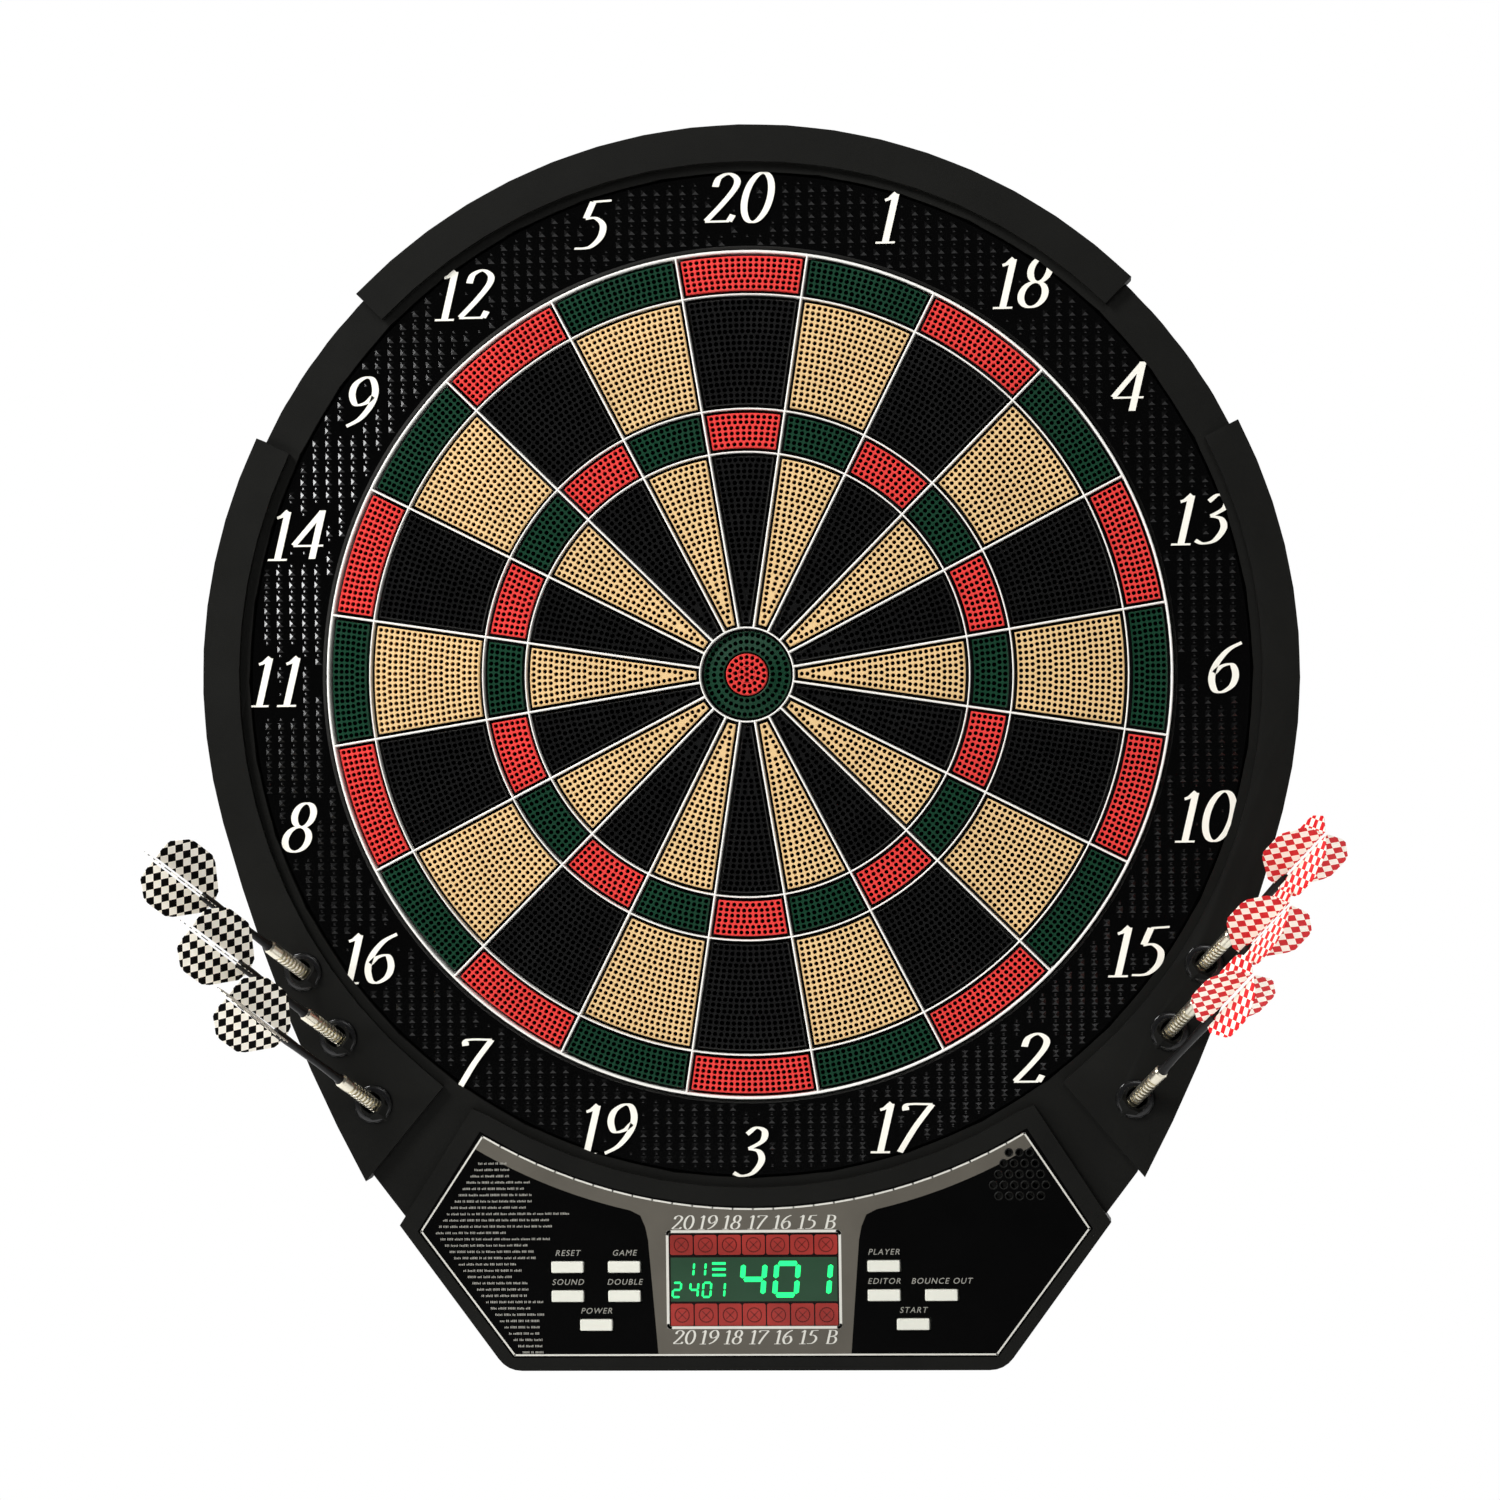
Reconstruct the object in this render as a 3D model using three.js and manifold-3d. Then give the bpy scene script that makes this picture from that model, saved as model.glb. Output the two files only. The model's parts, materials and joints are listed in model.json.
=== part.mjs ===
// Electronic dartboard for soft-tip darts, with six darts parked in its casing.
// Millimetres. X points right, Z up, and Y into the wall: the board faces -Y. The origin is on the flat
// back of the rear cover, behind the bull. An angle on the board is counted clockwise from the top.
import * as THREE from "three";
import { mergeVertices } from "three/addons/utils/BufferGeometryUtils.js";
import Module from "manifold-3d";

// Depths: the Y of each layer's front face, from the wall outwards.
const REAR_PLATE_FRONT = -2.5;
const PARTING_LINE = -9;
const SKIRT_REAR = -20;
const RIB_FRONT = -13.3;
const BACKING_FRONT = -16.6;
const MAT_REAR = -19;
const MAT_FRONT = -20;
const FOOT_REAR = -21.2;
const FLANGE_REAR = -20.3;
const FLANGE_FRONT = -22.3;
const PLATE_REAR = -25;
const PLATE_FRONT = -27;
const RING_WALL_REAR = -28;
const SEGMENT_FRONT = -32.3;
const SPIDER_FRONT = -33.5;
const CATCH_FRONT = -33;
const BASE_FRONT = -34;
const BASE_REAR = -31;
const CAP_FRONT = -38;
const PANEL_FRONT = -37.8;
const PANEL_REAR = -37;
const PANEL_FLOOR = -36.7;
const CONSOLE_REAR = -33.7;
const BUTTON_FRONT = -39;
const MAIN_BOARD_REAR = -27.2;
const MAIN_BOARD_FRONT = -28.8;
const SENSOR_REAR_SHEET = [-16.9, -17.3];
const SENSOR_SPACER = [-17.6, -18];
const SENSOR_FRONT_SHEET = [-18.3, -18.7];
const KEY_PAD_REAR = -29.2;
const KEY_PAD_FRONT = -30;
const KEY_DOME_FRONT = -31;
const DISPLAY_GLASS = [-33.2, -35.3];
const DISPLAY_CARRIER = [-31.6, -33.4];
const WINDOW_REAR = -35.6;
const BULL_FLANGE = [-22.6, -23.6];

// Ribs of the rear cover.
const RIB_RINGS = [[60, 62], [178, 180]];
const SPOKE_SIZE = [2, 340];
const BOARD_POSTS = [[96, -262], [96, -296]];

// Radii about the bull's axis.
const CASING_RADIUS = 255;
const CAP_INNER_RADIUS = 238;
const APERTURE_RADIUS = 234;
const CATCH_OUTER_RADIUS = 233.5;
const CATCH_FLANGE_RADIUS = 237.4;
const CATCH_INNER_RADIUS = 198;
const OUTER_RING = [195.6, 197.6];
const DOUBLE_LINE = 176.8;
const TREBLE_OUTER_LINE = 123.6;
const TREBLE_INNER_LINE = 103.5;
const BULL_LINE = 21.9;
const INNER_BULL_RADIUS = 9.7;
const RADIAL_WALL_START = 25;
const SPIDER_FLANGE_RADIUS = 230;
const MAT_RADIUS = 199;

// Thicknesses and clearances.
const CAP_OVERHANG = 4;
const WALL = 2.5;
const GAP = 0.3;
const SPIDER_HALF_LINE = 0.65;
const SEGMENT_CLEARANCE = 1;
const SEGMENT_SKIN = 1.8;
const RING_SIDES = 40;
const SECTOR_DEGREES = 18;
const SECTOR_NUMBERS = [20, 1, 18, 4, 13, 6, 10, 15, 2, 17, 3, 19, 7, 16, 8, 11, 14, 9, 12, 5];

// The casing's outline on the right half, below the round part.
const ROUND_END_DEGREES = 105;
const WING_KNEE = [221.5, -158.7];
const WING_TIP = [181, -234];
const CONSOLE_CORNER = [165.3, -254.6];
const CONSOLE_BOTTOM = [115.5, -322.5];
const CONSOLE_SHOULDER = [130.5, -200.5];
const CORNER_RADIUS = 7;
const TOP_CAP_DEGREES = 45;
const SIDE_CAP_DEGREES = 63.5;
const SIDE_CAP_END = [144, -190];

// The console's panel, display, keys and speaker.
const PANEL_ARC_RADIUS = 246.9;
const PANEL_APEX = [127, -211.6];
const PANEL_SIDE = [156.4, -257.4];
const PANEL_BOTTOM = [112.5, -316];
const DISPLAY_CENTRE = [0, -280.3];
const DISPLAY_SIZE = [78.8, 43];
const BUTTON_SIZE = [15.1, 5.3];
const KEY_ROWS = [-274.3, -287.8, -301.2];
const KEY_COLUMNS = [60.3, 86.8];
const KEY_MIDDLE = 73.6;
const BUTTONS = {
  button_reset: [-KEY_COLUMNS[1], KEY_ROWS[0]],
  button_game: [-KEY_COLUMNS[0], KEY_ROWS[0]],
  button_sound: [-KEY_COLUMNS[1], KEY_ROWS[1]],
  button_double: [-KEY_COLUMNS[0], KEY_ROWS[1]],
  button_power: [-KEY_MIDDLE, KEY_ROWS[2]],
  button_player: [KEY_COLUMNS[0], KEY_ROWS[0]],
  button_editor: [KEY_COLUMNS[0], KEY_ROWS[1]],
  button_bounce_out: [KEY_COLUMNS[1], KEY_ROWS[1]],
  button_start: [KEY_MIDDLE, KEY_ROWS[2]],
};
const SPEAKER = { flangeRadius: 15, flangeRear: -30.5, magnetRadius: 9, magnetRear: -23 };
const KEY_DOME_RADIUS = 2.6;
const MAIN_BOARD_CENTRE = [0, -281];
const MAIN_BOARD_SIZE = [204, 57];
const SPEAKER_CENTRE = [122.3, -232.6];
const SPEAKER_HOLE_RADIUS = 1.6;
const SPEAKER_PITCH = 5.3;
const SPEAKER_ROWS = [3, 4, 5, 6, 5];
const JACK_X = 70;
const JACK_Y = -14.5;

// Screw bosses of the casing, right half, and the two keyholes that hang the board on wall screws.
const BOSSES = [[0, 243], [162.6, 180.6], [243, 0], [221, -112], [174, -221], [150, -257], [107, -311]];
const BOSS_FRONT = -36;
const BOSS_REAR = -3;
const BOSS_RADIUS = 4;
const PILOT_RADIUS = 1.4;
const SCREW_HOLE_RADIUS = 1.9;
const BOARD_POST_RADIUS = 3;
const KEYHOLE = { x: 128, z: 150, headRadius: 5, slotRadius: 2.4, slotLength: 10 };

// Darts: an axis leans up, outwards and towards the player, and distances run along it from the mouth.
// The sockets mirror each other. Each side's darts lean a little off them, within the bores' width.
const SOCKET_AXIS = [0.531, -0.743, 0.585];
const DART_AXES = { left: [-0.524, -0.743, 0.545], right: [0.538, -0.743, 0.625] };
const SOCKET_FIRST = [209.5, -136];
const SOCKET_STEP = [-16.25, -31];
const SOCKET_RIM = { radius: 8.8, height: 1.4 };
const SOCKET = { boreRadius: 5, boreDepth: 12, tipRadius: 2.6, tipDepth: 34, wall: 2 };
const DART = { tipEnd: -33, barrelStart: -10, barrelEnd: 25.4, shaftEnd: 65, forkEnd: 72.6 };
const DART_RADII = { tip: 1.1, barrel: 3.2, shaft: 2.1 };
const FLIGHT = {
  length: 42,
  halfWidth: 17.5,
  shoulders: [16.5, 31],
  endHalfWidth: 9.3,
  thickness: 0.7,
  forkHole: 2.7,
};
// Turned so that neighbouring flights' blades pass between each other as a dart is drawn out.
const FLIGHT_ROLL_DEGREES = { left: [12, 13, 10], right: [30, 22, 36] };

const COLOURS = {
  casing: 0x1d1d1b, rear: 0x232322, gloss: 0x0a0a0b, spider: 0xf2f0ea, tan: 0xe3c78e, black: 0x161617,
  red: 0xd9403c, green: 0x1f6a4c, panel: 0x151514, button: 0xdcdcd2, rubber: 0x2a2a2a, sheet: 0xd8d0b8,
  board: 0x1e6a3c, hardboard: 0x7a5a3a, lens: 0x3a1a14, metal: 0xb9b4a2, whiteCheck: 0xf0f0ec,
  redCheck: 0xd8343a,
};

const wasm = await Module();
wasm.setup();

// ---- Points and outlines on the board, as [x, z] ----

const point = ([x, z]) => new THREE.Vector2(x, z);

function polar(radius, degrees) {
  const angle = THREE.MathUtils.degToRad(degrees);
  return new THREE.Vector2(radius * Math.sin(angle), radius * Math.cos(angle));
}

function arc(radius, from, to, steps) {
  return Array.from({ length: steps + 1 }, (_, i) => polar(radius, from + ((to - from) * i) / steps));
}

function circle(radius, sides, [x, z] = [0, 0]) {
  const rim = Array.from({ length: sides }, (_, i) => polar(radius, (i * 360) / sides));
  return rim.map((p) => p.add(new THREE.Vector2(x, z)));
}

function rectangle([x, z], [width, height]) {
  const corners = [[-1, -1], [1, -1], [1, 1], [-1, 1]];
  return corners.map(([i, j]) => new THREE.Vector2(x + (i * width) / 2, z + (j * height) / 2));
}

const mirrored = (points) => points.map((p) => new THREE.Vector2(-p.x, p.y)).reverse();

// The outline whose sides lie a distance inside those of the given one; a negative distance grows it.
function inset(points, distance) {
  const turn = Math.sign(THREE.ShapeUtils.area(points));
  return points.map((p, i) => {
    const back = p.clone().sub(points.at(i - 1)).normalize();
    const on = points[(i + 1) % points.length].clone().sub(p).normalize();
    const sideways = new THREE.Vector2(-back.y, back.x).multiplyScalar(turn);
    const bisector = new THREE.Vector2(-on.y, on.x).multiplyScalar(turn).add(sideways).normalize();
    return p.clone().addScaledVector(bisector, distance / bisector.dot(sideways));
  });
}

// A corner rounded by a curve that starts and ends a radius away from it.
function roundedCorner(before, corner, after, radius) {
  const start = corner.clone().add(before.clone().sub(corner).setLength(radius));
  const end = corner.clone().add(after.clone().sub(corner).setLength(radius));
  return new THREE.QuadraticBezierCurve(start, corner, end).getPoints(4);
}

// ---- Solids ----

function solidOf(geometry) {
  const bare = geometry.clone();
  bare.deleteAttribute("normal");
  bare.deleteAttribute("uv");
  const merged = mergeVertices(bare, 1e-4);
  const vertProperties = new Float32Array(merged.attributes.position.array);
  const triVerts = new Uint32Array(merged.index.array);
  return new wasm.Manifold(new wasm.Mesh({ numProp: 3, vertProperties, triVerts }));
}

function geometryOf(solid) {
  const made = solid.getMesh();
  const geometry = new THREE.BufferGeometry();
  geometry.setAttribute("position", new THREE.BufferAttribute(made.vertProperties, 3));
  geometry.setIndex(new THREE.BufferAttribute(made.triVerts, 1));
  geometry.computeVertexNormals();
  return geometry;
}

const joined = (solids) => solids.reduce((whole, piece) => whole.add(piece));
const cut = (solid, tools) => tools.reduce((whole, tool) => whole.subtract(tool), solid);

// A flat outline on the board made solid between two depths.
function slab(points, rearY, frontY) {
  const extruded = new THREE.ExtrudeGeometry(new THREE.Shape(points), {
    depth: rearY - frontY,
    bevelEnabled: false,
    steps: 1,
  });
  extruded.rotateX(Math.PI / 2).translate(0, rearY, 0);
  return solidOf(extruded);
}

// A ring turned about the bull's axis from a closed profile of [radius, y] points.
function turned(profile) {
  const closed = [...profile, profile[0]].map(([radius, y]) => new THREE.Vector2(radius, y));
  const lathe = new THREE.LatheGeometry(closed, RING_SIDES);
  const solid = solidOf(lathe);
  return solid.volume() > 0 ? solid : turned(profile.toReversed());
}

const ring = ([inner, outer], rearY, frontY) =>
  turned([[inner, frontY], [outer, frontY], [outer, rearY], [inner, rearY]]);

// A round bar along an axis, from one distance to another.
function bar(origin, axis, from, to, radius, sides = 10) {
  const cylinder = new THREE.CylinderGeometry(radius, radius, to - from, sides);
  const along = axis.clone().normalize();
  cylinder.applyQuaternion(new THREE.Quaternion().setFromUnitVectors(new THREE.Vector3(0, 1, 0), along));
  const middle = origin.clone().addScaledVector(along, (from + to) / 2);
  cylinder.translate(middle.x, middle.y, middle.z);
  return solidOf(cylinder);
}

const bothSides = (places) => places.flatMap(([x, z]) => (x ? [[x, z], [-x, z]] : [[x, z]]));

// ---- The board's outline ----

function rightOutline() {
  const round = arc(CASING_RADIUS, 0, ROUND_END_DEGREES, 21);
  const wing = new THREE.QuadraticBezierCurve(round.at(-1), point(WING_KNEE), point(WING_TIP)).getPoints(6);
  const bottom = point(CONSOLE_BOTTOM);
  const middle = new THREE.Vector2(0, bottom.y);
  const corner = roundedCorner(point(CONSOLE_CORNER), bottom, middle, CORNER_RADIUS);
  return { round, wing, corner };
}

const { round: roundSide, wing: wingSide, corner: bottomCorner } = rightOutline();
const rightHalf = [...roundSide, ...wingSide.slice(1), point(CONSOLE_CORNER), ...bottomCorner];
const OUTLINE = [...rightHalf, ...mirrored(rightHalf.slice(1))];
const BASE_OUTLINE = inset(OUTLINE, CAP_OVERHANG);
const INNER_OUTLINE = inset(BASE_OUTLINE, WALL);

const topCapOutline = [
  ...arc(CASING_RADIUS, -TOP_CAP_DEGREES, TOP_CAP_DEGREES, 18),
  ...arc(CAP_INNER_RADIUS, TOP_CAP_DEGREES, -TOP_CAP_DEGREES, 18),
];

function sideCapOutline() {
  const end = point(SIDE_CAP_END);
  const endDegrees = 90 + THREE.MathUtils.radToDeg(Math.atan2(-end.y, end.x));
  return [
    ...arc(CASING_RADIUS, SIDE_CAP_DEGREES, ROUND_END_DEGREES, 9),
    ...wingSide.slice(1),
    end,
    ...arc(CAP_INNER_RADIUS, endDegrees - 3, SIDE_CAP_DEGREES, 15),
  ];
}

function consoleOutline() {
  const shoulder = point(CONSOLE_SHOULDER);
  const shoulderDegrees = 90 + THREE.MathUtils.radToDeg(Math.atan2(-shoulder.y, shoulder.x));
  const right = [shoulder, point(CONSOLE_CORNER), ...bottomCorner];
  const top = arc(CAP_INNER_RADIUS, 360 - shoulderDegrees - 2, shoulderDegrees + 2, 12);
  return [...right, ...mirrored(right), ...top];
}

const panelSides = [point(PANEL_APEX), point(PANEL_SIDE), point(PANEL_BOTTOM)];
const PANEL_APEX_DEGREES = 90 + THREE.MathUtils.radToDeg(Math.atan2(-PANEL_APEX[1], PANEL_APEX[0]));
const panelOutline = [
  ...panelSides,
  ...mirrored(panelSides),
  ...arc(PANEL_ARC_RADIUS, 360 - PANEL_APEX_DEGREES - 4, PANEL_APEX_DEGREES + 4, 14),
];

// ---- Casing ----

const SCREW_PLACES = bothSides(BOSSES);

const socketMouths = [0, 1, 2].map((k) => [
  SOCKET_FIRST[0] + k * SOCKET_STEP[0],
  SOCKET_FIRST[1] + k * SOCKET_STEP[1],
]);

function socketAxis(side) {
  return new THREE.Vector3(side * SOCKET_AXIS[0], SOCKET_AXIS[1], SOCKET_AXIS[2]).normalize();
}

// One dart holder: a rim on the casing, a leaning tube, and its stepped bore.
function socket(side, [x, z]) {
  const mouth = new THREE.Vector3(side * x, CAP_FRONT, z);
  const axis = socketAxis(side);
  const { boreRadius, boreDepth, tipRadius, tipDepth, wall } = SOCKET;
  const rim = slab(circle(SOCKET_RIM.radius, 12, [side * x, z]), BASE_REAR, CAP_FRONT - SOCKET_RIM.height);
  const tube = bar(mouth, axis, -boreDepth - wall, 0, boreRadius + wall, 8);
  const sleeve = bar(mouth, axis, -tipDepth - wall, -boreDepth, tipRadius + wall, 6);
  const bore = bar(mouth, axis, -boreDepth, 14, boreRadius, 8);
  const tipBore = bar(mouth, axis, -tipDepth, -boreDepth + 1, tipRadius, 6);
  return { added: rim.add(tube).add(sleeve), removed: bore.add(tipBore) };
}

function speakerHoles(rearY, frontY) {
  return SPEAKER_ROWS.flatMap((count, row) => {
    const z = SPEAKER_CENTRE[1] + (2 - row) * SPEAKER_PITCH;
    return Array.from({ length: count }, (_, i) => {
      const x = SPEAKER_CENTRE[0] + (i - (count - 1) / 2) * SPEAKER_PITCH;
      return slab(circle(SPEAKER_HOLE_RADIUS, 6, [x, z]), rearY, frontY);
    });
  });
}

function keyHoles(clearance, rearY, frontY) {
  const size = BUTTON_SIZE.map((side) => side + 2 * clearance);
  return Object.values(BUTTONS).map((centre) => slab(rectangle(centre, size), rearY, frontY));
}

function frontCasing() {
  const sideCap = sideCapOutline();
  const raised = [topCapOutline, sideCap, mirrored(sideCap), consoleOutline()];
  const shell = slab(BASE_OUTLINE, PARTING_LINE - GAP, BASE_FRONT);
  const body = joined([shell, ...raised.map((outline) => slab(outline, SKIRT_REAR, CAP_FRONT))]);
  const capHollow = inset(sideCap, CAP_OVERHANG + WALL);
  const hollows = [
    slab(INNER_OUTLINE, 0, BASE_REAR),
    slab(circle(APERTURE_RADIUS, RING_SIDES), 0, CAP_FRONT - 1),
    slab(capHollow, BASE_REAR + 1, CAP_FRONT + 3),
    slab(mirrored(capHollow), BASE_REAR + 1, CAP_FRONT + 3),
    slab(inset(consoleOutline(), CAP_OVERHANG + WALL), BASE_REAR + 1, CONSOLE_REAR),
    slab(inset(panelOutline, -0.4), PANEL_FLOOR, CAP_FRONT - 1),
  ];
  const sockets = [-1, 1].flatMap((side) => socketMouths.map((mouth) => socket(side, mouth)));
  const bosses = SCREW_PLACES.map((place) => slab(circle(BOSS_RADIUS, 6, place), BOSS_REAR, BOSS_FRONT));
  const openings = [
    ...keyHoles(0.6, CONSOLE_REAR + 1, CAP_FRONT),
    ...speakerHoles(CONSOLE_REAR + 1, CAP_FRONT),
    slab(rectangle(DISPLAY_CENTRE, DISPLAY_SIZE), CONSOLE_REAR + 1, CAP_FRONT),
    bar(new THREE.Vector3(JACK_X, JACK_Y, -310), new THREE.Vector3(0, 0, -1), 0, 15, 4, 12),
  ];
  const pilots = SCREW_PLACES.map((place) => slab(circle(PILOT_RADIUS, 5, place), 0, -24));
  const hollow = cut(body, hollows);
  const posted = joined([hollow, ...bosses, ...sockets.map((piece) => piece.added)]);
  return cut(posted, [...sockets.map((piece) => piece.removed), ...openings, ...pilots]);
}

function keyholeSlot(side) {
  const { x, z, headRadius, slotRadius, slotLength } = KEYHOLE;
  const head = slab(circle(headRadius, 12, [side * x, z]), 1, REAR_PLATE_FRONT - 1);
  const slot = rectangle([side * x, z + slotLength / 2], [2 * slotRadius, slotLength]);
  const top = slab(circle(slotRadius, 8, [side * x, z + slotLength]), 1, REAR_PLATE_FRONT - 1);
  return joined([head, slab(slot, 1, REAR_PLATE_FRONT - 1), top]);
}

// The rear cover: a shallow tray with ribs that press on the backing board and posts for the main board.
function rearCover() {
  const inside = slab(INNER_OUTLINE, REAR_PLATE_FRONT, PARTING_LINE - 1);
  const tray = slab(BASE_OUTLINE, 0, PARTING_LINE).subtract(inside);
  const ribRings = RIB_RINGS.map((radii) => ring(radii, REAR_PLATE_FRONT + 1, RIB_FRONT));
  const spokes = [30, 90, 150].map((degrees) => {
    const spoke = slab(rectangle([0, 0], SPOKE_SIZE), REAR_PLATE_FRONT + 1, RIB_FRONT + 1);
    return spoke.rotate([0, degrees, 0]);
  });
  const postFront = MAIN_BOARD_REAR + GAP;
  const boardPosts = bothSides(BOARD_POSTS).map((place) => {
    return slab(circle(BOARD_POST_RADIUS, 6, place), REAR_PLATE_FRONT + 1, postFront);
  });
  const holes = SCREW_PLACES.map((place) => {
    return slab(circle(SCREW_HOLE_RADIUS, 6, place), 1, REAR_PLATE_FRONT - 1);
  });
  const whole = joined([tray, ...ribRings, ...spokes, ...boardPosts]);
  return cut(whole, [...holes, keyholeSlot(1), keyholeSlot(-1)]);
}

// The number ring round the target: a glossy plate with a clamped outer flange and a deep inner wall.
function catchRing() {
  const thickness = 2;
  const flangeFront = BASE_REAR + 0.4;
  const flangeRear = flangeFront + 1.7;
  return turned([
    [CATCH_INNER_RADIUS, CATCH_FRONT],
    [CATCH_OUTER_RADIUS, CATCH_FRONT],
    [CATCH_OUTER_RADIUS, flangeFront],
    [CATCH_FLANGE_RADIUS, flangeFront],
    [CATCH_FLANGE_RADIUS, flangeRear],
    [CATCH_OUTER_RADIUS - thickness, flangeRear],
    [CATCH_OUTER_RADIUS - thickness, CATCH_FRONT + thickness],
    [CATCH_INNER_RADIUS + thickness, CATCH_FRONT + thickness],
    [CATCH_INNER_RADIUS + thickness, FLANGE_FRONT - GAP],
    [CATCH_INNER_RADIUS, FLANGE_FRONT - GAP],
  ]);
}

// ---- Target ----

// One radial wall: deep between the sectors, shallow where the bull's web passes behind it.
function radialWall() {
  const rear = FLANGE_FRONT + 1;
  const end = (OUTER_RING[0] + OUTER_RING[1]) / 2;
  const profile = [
    [BULL_LINE, SPIDER_FRONT], [end, SPIDER_FRONT], [end, rear],
    [RADIAL_WALL_START, rear], [RADIAL_WALL_START, RING_WALL_REAR], [BULL_LINE, RING_WALL_REAR],
  ];
  const extruded = new THREE.ExtrudeGeometry(new THREE.Shape(profile.map(point)), {
    depth: 2 * SPIDER_HALF_LINE,
    bevelEnabled: false,
    steps: 1,
  });
  return solidOf(extruded.translate(0, 0, -SPIDER_HALF_LINE).rotateY(-Math.PI / 2));
}

function spider() {
  const lines = [DOUBLE_LINE, TREBLE_OUTER_LINE, TREBLE_INNER_LINE, BULL_LINE];
  const rings = lines.map((line) =>
    ring([line - SPIDER_HALF_LINE, line + SPIDER_HALF_LINE], RING_WALL_REAR, SPIDER_FRONT),
  );
  const radials = SECTOR_NUMBERS.map((_, i) => radialWall().rotate([0, (i + 0.5) * SECTOR_DEGREES, 0]));
  const rim = turned([
    [OUTER_RING[0], SPIDER_FRONT],
    [OUTER_RING[1], SPIDER_FRONT],
    [OUTER_RING[1], FLANGE_FRONT],
    [SPIDER_FLANGE_RADIUS, FLANGE_FRONT],
    [SPIDER_FLANGE_RADIUS, FLANGE_REAR],
    [OUTER_RING[0], FLANGE_REAR],
  ]);
  return joined([...rings, ...radials, rim]);
}

// A piece of a sector between two radii whose straight sides keep a distance to the radial lines.
function wedge(inner, outer, side, arcSteps) {
  const reach = (radius) => SECTOR_DEGREES / 2 - THREE.MathUtils.radToDeg(Math.asin(side / radius));
  return [
    ...arc(outer, -reach(outer), reach(outer), arcSteps),
    ...arc(inner, reach(inner), -reach(inner), arcSteps),
  ];
}

const LINE_CLEARANCE = SPIDER_HALF_LINE + SEGMENT_CLEARANCE;
const SEGMENT_BEDS = {
  inner_single: [BULL_LINE + LINE_CLEARANCE, TREBLE_INNER_LINE - LINE_CLEARANCE],
  treble: [TREBLE_INNER_LINE + LINE_CLEARANCE, TREBLE_OUTER_LINE - LINE_CLEARANCE],
  outer_single: [TREBLE_OUTER_LINE + LINE_CLEARANCE, DOUBLE_LINE - LINE_CLEARANCE],
  double: [DOUBLE_LINE + LINE_CLEARANCE, OUTER_RING[0] - SEGMENT_CLEARANCE],
};

// One number's four segments: hollow pads that stand through the spider on a common rear web with feet.
function sector() {
  const web = slab(wedge(BULL_LINE + 2, OUTER_RING[0] - 1, LINE_CLEARANCE, 2), PLATE_REAR, PLATE_FRONT);
  const pads = [];
  const pockets = [];
  const feet = [];
  for (const [inner, outer] of Object.values(SEGMENT_BEDS)) {
    const middle = (inner + outer) / 2;
    const foot = Math.min(3, middle / 25);
    pads.push(slab(wedge(inner, outer, LINE_CLEARANCE, 2), PLATE_FRONT + 1, SEGMENT_FRONT));
    const hollow = wedge(inner + SEGMENT_SKIN + 3, outer - SEGMENT_SKIN, LINE_CLEARANCE + SEGMENT_SKIN, 1);
    if (inner > BULL_LINE + 10) pockets.push(slab(hollow, PLATE_REAR + 1, SEGMENT_FRONT + SEGMENT_SKIN));
    feet.push(slab(rectangle([0, middle], [foot, foot]), FOOT_REAR, SEGMENT_FRONT + 1));
  }
  return joined([cut(joined([web, ...pads]), pockets), ...feet]);
}

function outerBull() {
  const inner = INNER_BULL_RADIUS + 0.8;
  const sides = 20;
  const tool = slab(circle(inner, sides), PLATE_REAR + 1, SEGMENT_FRONT - 1);
  const pad = slab(circle(BULL_LINE - LINE_CLEARANCE, sides), PLATE_REAR, SEGMENT_FRONT);
  const web = slab(circle(BULL_LINE + 0.8, sides), PLATE_REAR, PLATE_FRONT);
  const feet = [45, 135, 225, 315].map((degrees) => {
    const centre = polar(17.5, degrees);
    return slab(rectangle([centre.x, centre.y], [3, 3]), FOOT_REAR, PLATE_FRONT + 1);
  });
  return joined([pad.add(web).subtract(tool), ...feet]);
}

function innerBull() {
  const button = slab(circle(INNER_BULL_RADIUS, 20), BULL_FLANGE[0], SEGMENT_FRONT);
  const flange = slab(circle(13, 20), ...BULL_FLANGE);
  const foot = slab(circle(3, 6), FOOT_REAR, BULL_FLANGE[1] + 0.6);
  return joined([button, flange, foot]);
}

// ---- Sensing layers behind the target ----

function disc(radius, rearY, frontY) {
  return slab(circle(radius, RING_SIDES), rearY, frontY);
}

// A printed sheet of the sensor matrix, with the tail that carries its tracks down to the main board.
function sensorSheet(tailX, rearY, frontY) {
  const tail = slab(rectangle([tailX, -228], [24, 64]), rearY, frontY);
  return disc(MAT_RADIUS, rearY, frontY).add(tail);
}

// ---- Console ----

function controlPanel() {
  const sheet = slab(panelOutline, PANEL_REAR, PANEL_FRONT);
  const display = slab(rectangle(DISPLAY_CENTRE, DISPLAY_SIZE), PANEL_REAR + 1, PANEL_FRONT - 1);
  const keys = keyHoles(0.5, PANEL_REAR + 1, PANEL_FRONT - 1);
  return cut(sheet, [display, ...keys, ...speakerHoles(PANEL_REAR + 1, PANEL_FRONT - 1)]);
}

function displayWindow() {
  const size = DISPLAY_SIZE.map((side) => side - 2 * GAP);
  return slab(rectangle(DISPLAY_CENTRE, size), WINDOW_REAR, PANEL_FRONT + 0.3);
}

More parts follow.
